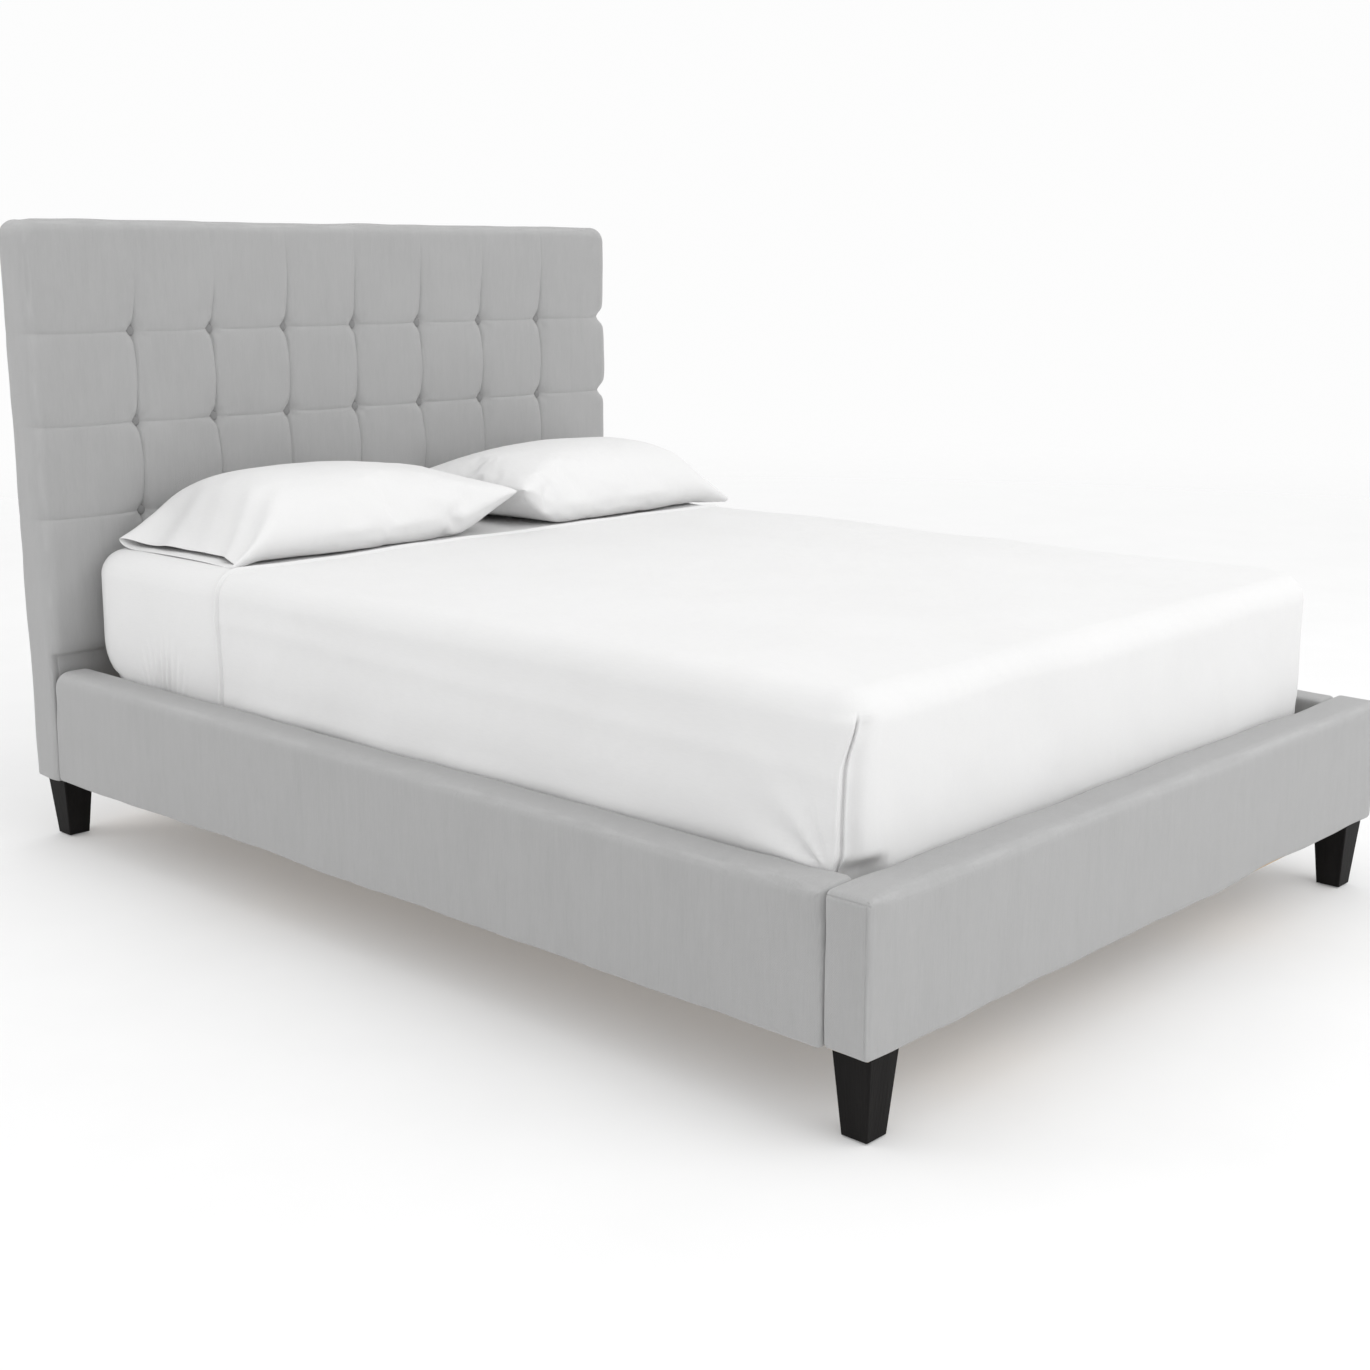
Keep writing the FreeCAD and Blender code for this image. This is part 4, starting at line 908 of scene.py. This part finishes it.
def build_fitted_sheet():
    """The fitted sheet: over the top and sides and under the edges, gathered near the head corners."""
    gather_y = np.arange(0.585, 0.795, 0.004)
    gather_z = np.arange(0.335, 0.450, 0.012)
    _, points, faces, low, high = bed_shell(0.0010, 0.0007, 0.028, extra_y=gather_y, extra_z=gather_z)
    out = normals(points, faces)
    swell = bed_swell(points, high)
    mask = bell(points[:, 1] - GATHER_Y, 0.055) * bell(points[:, 2] - GATHER_Z, 0.045)
    mask *= smooth(np.abs(points[:, 0]), high[0] - 0.03, high[0] - 0.01)
    fan = (points[:, 1] - GATHER_Y) * (1 - 0.35 * (points[:, 2] - 0.36) / 0.1)
    swell += mask * GATHER_DEPTH * np.sin(fan * TAU / GATHER_PITCH + 0.8 * np.sin(points[:, 1] * 55))
    swell -= pressed_in(points, low, high)
    points = settle_bedding(points, out, swell, low, high, LAYER_EASE)
    centre = points[faces].mean(axis=1)
    under = centre[:, 2] < low[2] + 0.0005
    inside = np.minimum(high[0] - np.abs(centre[:, 0]), half_gap(centre[:, 1], low[1], high[1]))
    points, faces = drop_faces(points, faces, ~(under & (inside > FITTED_TUCK)))
    cloth = build("fitted_sheet_cloth", points, faces, "mattress", "sheet_cotton", ["fitted_sheet"])
    thicken(cloth, SHEET_THICKNESS)


def corner_pleat(flat, low, high):
    """Relief of the boxed fold at each foot corner: the side's cloth ends in a rolled edge over the
    foot's cloth, and the edge runs in to the corner near the top."""
    across = half_gap(flat[:, 0], low[0], high[0])
    along = flat[:, 1] - low[1]
    height = (flat[:, 2] - low[2]) / (high[2] - low[2])
    place = np.where(along < 1e-6, across, -along)
    rising = smooth(height, PLEAT_BEND, PLEAT_TOP)
    edge = -(0.030 - 0.005 * height) + 0.028 * rising**1.5 + 0.0012 * np.sin(height * 11)
    present = 1 - smooth(height, PLEAT_TOP - 0.05, PLEAT_TOP + 0.02)
    behind = place - edge
    lap = np.exp(np.minimum(behind, 0) / 0.045) * (1 - smooth(behind, -0.001, 0.0045))
    hollow = bell(behind - 0.0055, 0.0032)
    second = bell(behind - 0.0125, 0.0035)
    sag = smooth(behind, 0, 0.008) * (1 - smooth(behind, 0.024, 0.056))
    relief = present * (0.0064 * lap - 0.0048 * hollow + 0.0020 * second - 0.0056 * sag)
    return relief * np.where(flat[:, 0] > 0, 0.5, 1)


def on_side(points, high):
    """1 on the bedding's side faces, 0 away from them."""
    return smooth(np.abs(points[:, 0]), high[0] - 0.03, high[0] - 0.006)


def foot_pulls(points, low, high):
    """Creases that fan out from the bottom of each boxed fold along the sides."""
    along = points[:, 1] - (low[1] + 0.032)
    up = points[:, 2] - (low[2] + 0.064)
    reach = np.hypot(along, up)
    angle = np.arctan2(up, along)
    fan = np.sin(angle * 10 + 0.4) * np.exp(-reach / 0.12) * (1 - bell(reach, 0.030))
    present = smooth(along, -0.003, 0.02) * (1 - smooth(angle, 0.9, 1.4))
    return PULL_DEPTH * on_side(points, high) * fan * present


def build_flat_sheet():
    """The flat sheet: from the pillows to the foot, tucked under, with a boxed fold at each foot corner."""
    lo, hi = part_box("flat_sheet")
    head = hi.y
    fold_x = beside(lo.x, hi.x, FOLD_LINES)
    fold_y = [*(lo.y + FOLD_LINES), *(head - HEM_LINES)]
    fold_z = np.arange(0.32, 0.57, 0.006)
    flat, points, faces, low, high = bed_shell(0.0022, 0.0003, 0.022, fold_x, fold_y, fold_z)
    out = normals(points, faces)
    swell = bed_swell(points, high) + corner_pleat(flat, low, high) + foot_pulls(points, low, high)
    side = on_side(points, high)
    low_side = side * bell(points[:, 2] - RAIL_BULGE_HEIGHT, 0.022)
    swell += low_side * (RAIL_BULGE + 0.0022 * np.clip(waves(points * [1, 1, 0], 0.24, 71), -1, 1.2))
    swell += 0.0022 * side * bell(points[:, 2] - 0.492 - 0.02 * points[:, 1], 0.018)
    swell += HEM_ROLL * smooth(points[:, 1], head - 0.008, head - 0.003)
    swell -= HEM_GROOVE * bell(points[:, 1] - (head - HEM_GROOVE_PLACE), HEM_GROOVE_WIDTH)
    points = settle_bedding(points, out, swell, low, high)
    centre = points[faces].mean(axis=1)
    under = centre[:, 2] < low[2] + 0.0004
    inside = high[0] - np.abs(centre[:, 0])
    keep = flat[faces][:, :, 1].max(axis=1) < head + 1e-6
    keep &= ~(under & (inside > FLAT_SIDE_TUCK + 0.02) & (centre[:, 1] > low[1] + FLAT_FOOT_TUCK))
    points, faces = drop_faces(points, faces, keep)
    cloth = build("flat_sheet_cloth", points, faces, "mattress", "sheet_cotton", ["flat_sheet"])
    thicken(cloth, SHEET_THICKNESS)


# ---------------- pillows


def case_mesh(name, way, seed):
    """Two layers of cloth joined on three sides, lying flat with the middle of the open end at the origin.
    way is the x direction of the open end, and facing gives each point's partner in the other layer."""
    nu, nv = round(CASE_CUT[0] / CASE_STEP) + 1, round(CASE_CUT[1] / CASE_STEP) + 1
    u, v = np.meshgrid(np.linspace(0, 1, nu), np.linspace(0, 1, nv), indexing="ij")
    top = np.arange(nu * nv).reshape(nu, nv)
    bottom = top.copy()
    inner = np.zeros((nu, nv), bool)
    inner[1:, 1:-1] = True
    bottom[inner] = nu * nv + np.arange(inner.sum())
    dome = (16 * u * (1 - u) * v * (1 - v)) ** 0.5
    x = (u - 1) * CASE_CUT[0] * way
    y = (v - 0.5) * CASE_CUT[1]
    layers = [np.stack([x, y, 0.008 + 0.05 * dome], -1).reshape(-1, 3)]
    layers.append(np.stack([x, y, 0.008 - 0.002 * dome], -1)[inner])
    points = np.concatenate(layers)
    points[:, 2] += 0.0015 * waves(points, 0.12, seed)
    faces = np.concatenate([grid_quads(top, way < 0), grid_quads(bottom, way > 0)])
    along = np.concatenate([u.ravel(), u[inner]])
    across = np.concatenate([v.ravel(), v[inner]])
    facing = np.arange(len(points))
    facing[top[inner]] = bottom[inner]
    facing[bottom[inner]] = top[inner]
    case = mesh_object(name, points.tolist(), faces.tolist())
    return case, points, faces, along, across, facing


def add_cloth(case, along):
    """Cloth that swells where the pillow fills it and stays limp towards the open hem."""
    fill = case.vertex_groups.new(name="fill")
    weight = 1 - smooth(along, 0.82, 0.90)
    for i, w in enumerate(weight):
        fill.add([i], float(w), "REPLACE")
    cloth = case.modifiers.new("cloth", "CLOTH")
    for name, value in CASE_CLOTH.items():
        setattr(cloth.settings, name, value)
    cloth.settings.effector_weights.gravity = CASE_GRAVITY
    cloth.collision_settings.distance_min = 0.002
    cloth.collision_settings.collision_quality = 2
    cloth.point_cache.frame_start = 1
    cloth.point_cache.frame_end = SETTLE_FRAMES


def settle(cases):
    """Inflates the pillow cases on a flat rest and returns where their points come to lie."""
    corners = [(-3, -3, 0), (3, -3, 0), (3, 3, 0), (-3, 3, 0)]
    plane = mesh_object("rest_plane", corners, [(0, 1, 2, 3)])
    plane.modifiers.new("rest", "COLLISION")
    plane.collision.thickness_outer = 0.002
    for number in range(1, SETTLE_FRAMES + 1):
        scene.frame_set(number)
    graph = bpy.context.evaluated_depsgraph_get()
    placed = []
    for case in cases:
        mesh = case.evaluated_get(graph).to_mesh()
        points = np.zeros(len(mesh.vertices) * 3)
        mesh.vertices.foreach_get("co", points)
        placed.append(points.reshape(-1, 3))
    for case in [*cases, plane]:
        bpy.data.objects.remove(case)
    scene.frame_set(1)
    return placed


def build_pillows():
    """Both pillows: the cases are inflated together, then each is shaped and given its stuffed shell."""
    sides = (("left", -1, 61), ("right", 1, 62))
    made = [case_mesh(f"case_{side}", way, seed) for side, way, seed in sides]
    for case, _, _, along, *_ in made:
        add_cloth(case, along)
    placed = settle([m[0] for m in made])
    for (side, way, _), (_, _, faces, along, across, facing), points in zip(sides, made, placed):
        build_pillow(side, way, points, faces, along, across, facing)


def build_pillow(side, way, points, faces, along, across, facing):
    """One pillow from its settled case: the cotton case, and the stuffed shell inside it."""
    lo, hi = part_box(f"pillowcase_{side}")
    low, high = points.min(0), points.max(0)
    points = (points - low) / (high - low) * (np.array(hi) - np.array(lo)) + np.array(lo)
    from_end = (1 - along) * CASE_CUT[0]
    points = relaxed(points, faces, smooth(along, 0.60, 0.86) * 0.5, RELAX_STEPS)
    flatten = END_HEIGHT + (1 - END_HEIGHT) * smooth(from_end, -0.03, 0.15)
    points[:, 2] = lo.z + (points[:, 2] - lo.z) * flatten
    from_seam = along * CASE_CUT[0]
    lift = TIP_LIFT * (1 - smooth(from_seam, 0.0, 0.17)) * (0.35 + 0.65 * smooth(across, 0.75, 0.05))
    points[:, 2] += lift * (1 - smooth(points[:, 2], lo.z + 0.04, lo.z + 0.14))
    ear = EAR_DROP * (1 - smooth(from_end, 0.0, 0.10)) * smooth(across, 0.30, 0.0)
    points[:, 2] = np.maximum(points[:, 2] - ear, lo.z)
    near_end = 1 - smooth(from_end, 0.0, 0.16)
    points[:, 0] -= way * near_end * END_HOLLOW * np.sin(math.pi * across) ** 0.8
    out = normals(points, faces)
    hem = HEM_STEP * (1 - smooth(from_end, CASE_HEM - 0.004, CASE_HEM + 0.004))
    case_points = points + out * hem[:, None]
    body = f"pillow_{side}"
    case = build(f"{body}_case", case_points, faces, body, "pillowcase_cotton", [f"pillowcase_{side}"])
    smoother = case.modifiers.new("finer", "SUBSURF")
    smoother.levels = smoother.render_levels = 1
    thicken(case, SHEET_THICKNESS)

    inner = points - out * FILL_INSET
    middle = (inner + inner[facing]) / 2
    closing = np.sqrt(np.clip(1 - smooth(along, FILL_END - 0.09, FILL_END) ** 2, 0.0004, 1))
    inner = middle + (inner - middle) * closing[:, None]
    kept = along[faces].max(axis=1) <= FILL_END + 1e-6
    shell_points, shell_faces = drop_faces(inner, faces, kept)
    shell = build(f"{body}_stuffed", shell_points, shell_faces, body, "pillow_fibre", [body])


def relaxed(points, faces, strength, steps):
    """Points eased towards the average of their neighbours, by a share that differs from place to place."""
    links = np.concatenate([faces[:, [0, 1]], faces[:, [1, 2]], faces[:, [2, 3]], faces[:, [3, 0]]])
    count = np.bincount(links[:, 0], minlength=len(points)) + np.bincount(links[:, 1], minlength=len(points))
    eased = points.copy()
    for _ in range(steps):
        total = np.zeros_like(eased)
        np.add.at(total, links[:, 0], eased[links[:, 1]])
        np.add.at(total, links[:, 1], eased[links[:, 0]])
        eased += (total / np.maximum(count, 1)[:, None] - eased) * strength[:, None]
    return eased


# ---------------- camera, light and floor


def add_camera():
    """The scene's camera: a three-quarter view from beyond the foot's left corner."""
    data = bpy.data.cameras.new("camera")
    data.lens = LENS_MM
    data.sensor_width = SENSOR_MM
    camera = bpy.data.objects.new("camera", data)
    camera.location = CAMERA_PLACE
    camera.rotation_euler = (math.radians(90 - CAMERA_DOWN_DEG), 0, math.radians(CAMERA_TURN_DEG))
    scene.collection.objects.link(camera)
    scene.camera = camera


def add_light(name, place, aim, size, watts):
    """A square area light that faces its aim."""
    data = bpy.data.lights.new(name, "AREA")
    data.shape = "SQUARE"
    data.size = size
    data.energy = watts
    light = bpy.data.objects.new(name, data)
    light.location = place
    light.rotation_euler = (Vector(aim) - Vector(place)).to_track_quat("-Z", "Y").to_euler()
    scene.collection.objects.link(light)


def add_world():
    """An even white surround, slightly brighter towards the top."""
    world = bpy.data.worlds.new("studio")
    world.use_nodes = True
    nodes, links = world.node_tree.nodes, world.node_tree.links
    nodes["Background"].inputs["Color"].default_value = (1, 1, 1, 1)
    height = nodes.new("ShaderNodeSeparateXYZ")
    links.new(nodes.new("ShaderNodeTexCoord").outputs["Generated"], height.inputs[0])
    rise = ranged(world.node_tree, height.outputs["Z"], (0.15, 1.0), (SKY_LOW, SKY_HIGH))
    links.new(rise.outputs["Result"], nodes["Background"].inputs["Strength"])
    scene.world = world


def add_floor():
    """A pale disc that fades out far from the bed, so that no horizon shows."""
    points, faces = [(0, 0, 0)], []
    for radius in FLOOR_RINGS:
        for spoke in range(FLOOR_SPOKES):
            turn = TAU * spoke / FLOOR_SPOKES
            points.append((radius * math.cos(turn), radius * math.sin(turn), 0))
    for spoke in range(FLOOR_SPOKES):
        after = (spoke + 1) % FLOOR_SPOKES
        faces.append((0, 1 + spoke, 1 + after))
        for ring in range(len(FLOOR_RINGS) - 1):
            first = 1 + ring * FLOOR_SPOKES
            second = first + FLOOR_SPOKES
            faces.append((first + spoke, second + spoke, second + after, first + after))
    floor = mesh_object("floor", points, faces)
    finish = Finish("pale_floor", roughness=0.85)
    finish.color(finish.ramp(finish.noise((3.0, 3.0, 3.0)), [(0.3, grey(0.70)), (0.7, grey(0.72))]))
    finish.set("Emission Color", (1, 1, 1, 1))
    finish.set("Emission Strength", FLOOR_GLOW)
    clear = ranged(finish.tree, finish.vector("LENGTH", finish.place), FLOOR_FADE, (1.0, 0.0))
    clear.interpolation_type = "SMOOTHSTEP"
    finish.set("Alpha", clear.outputs["Result"])
    floor.data.materials.append(finish.material)


def add_studio():
    """The surround, a broad key light from the front with softer ones round it, and the floor."""
    add_world()
    for name, settings in LIGHTS.items():
        add_light(name, *settings)
    scene.view_settings.view_transform = "Standard"
    add_floor()


add_camera()
add_studio()
finish_nodes()
build_headboard()
build_rail("left", -1)
build_rail("right", 1)
build_footboard()
build_straps()
build_mattress()
build_fitted_sheet()
build_flat_sheet()
build_pillows()
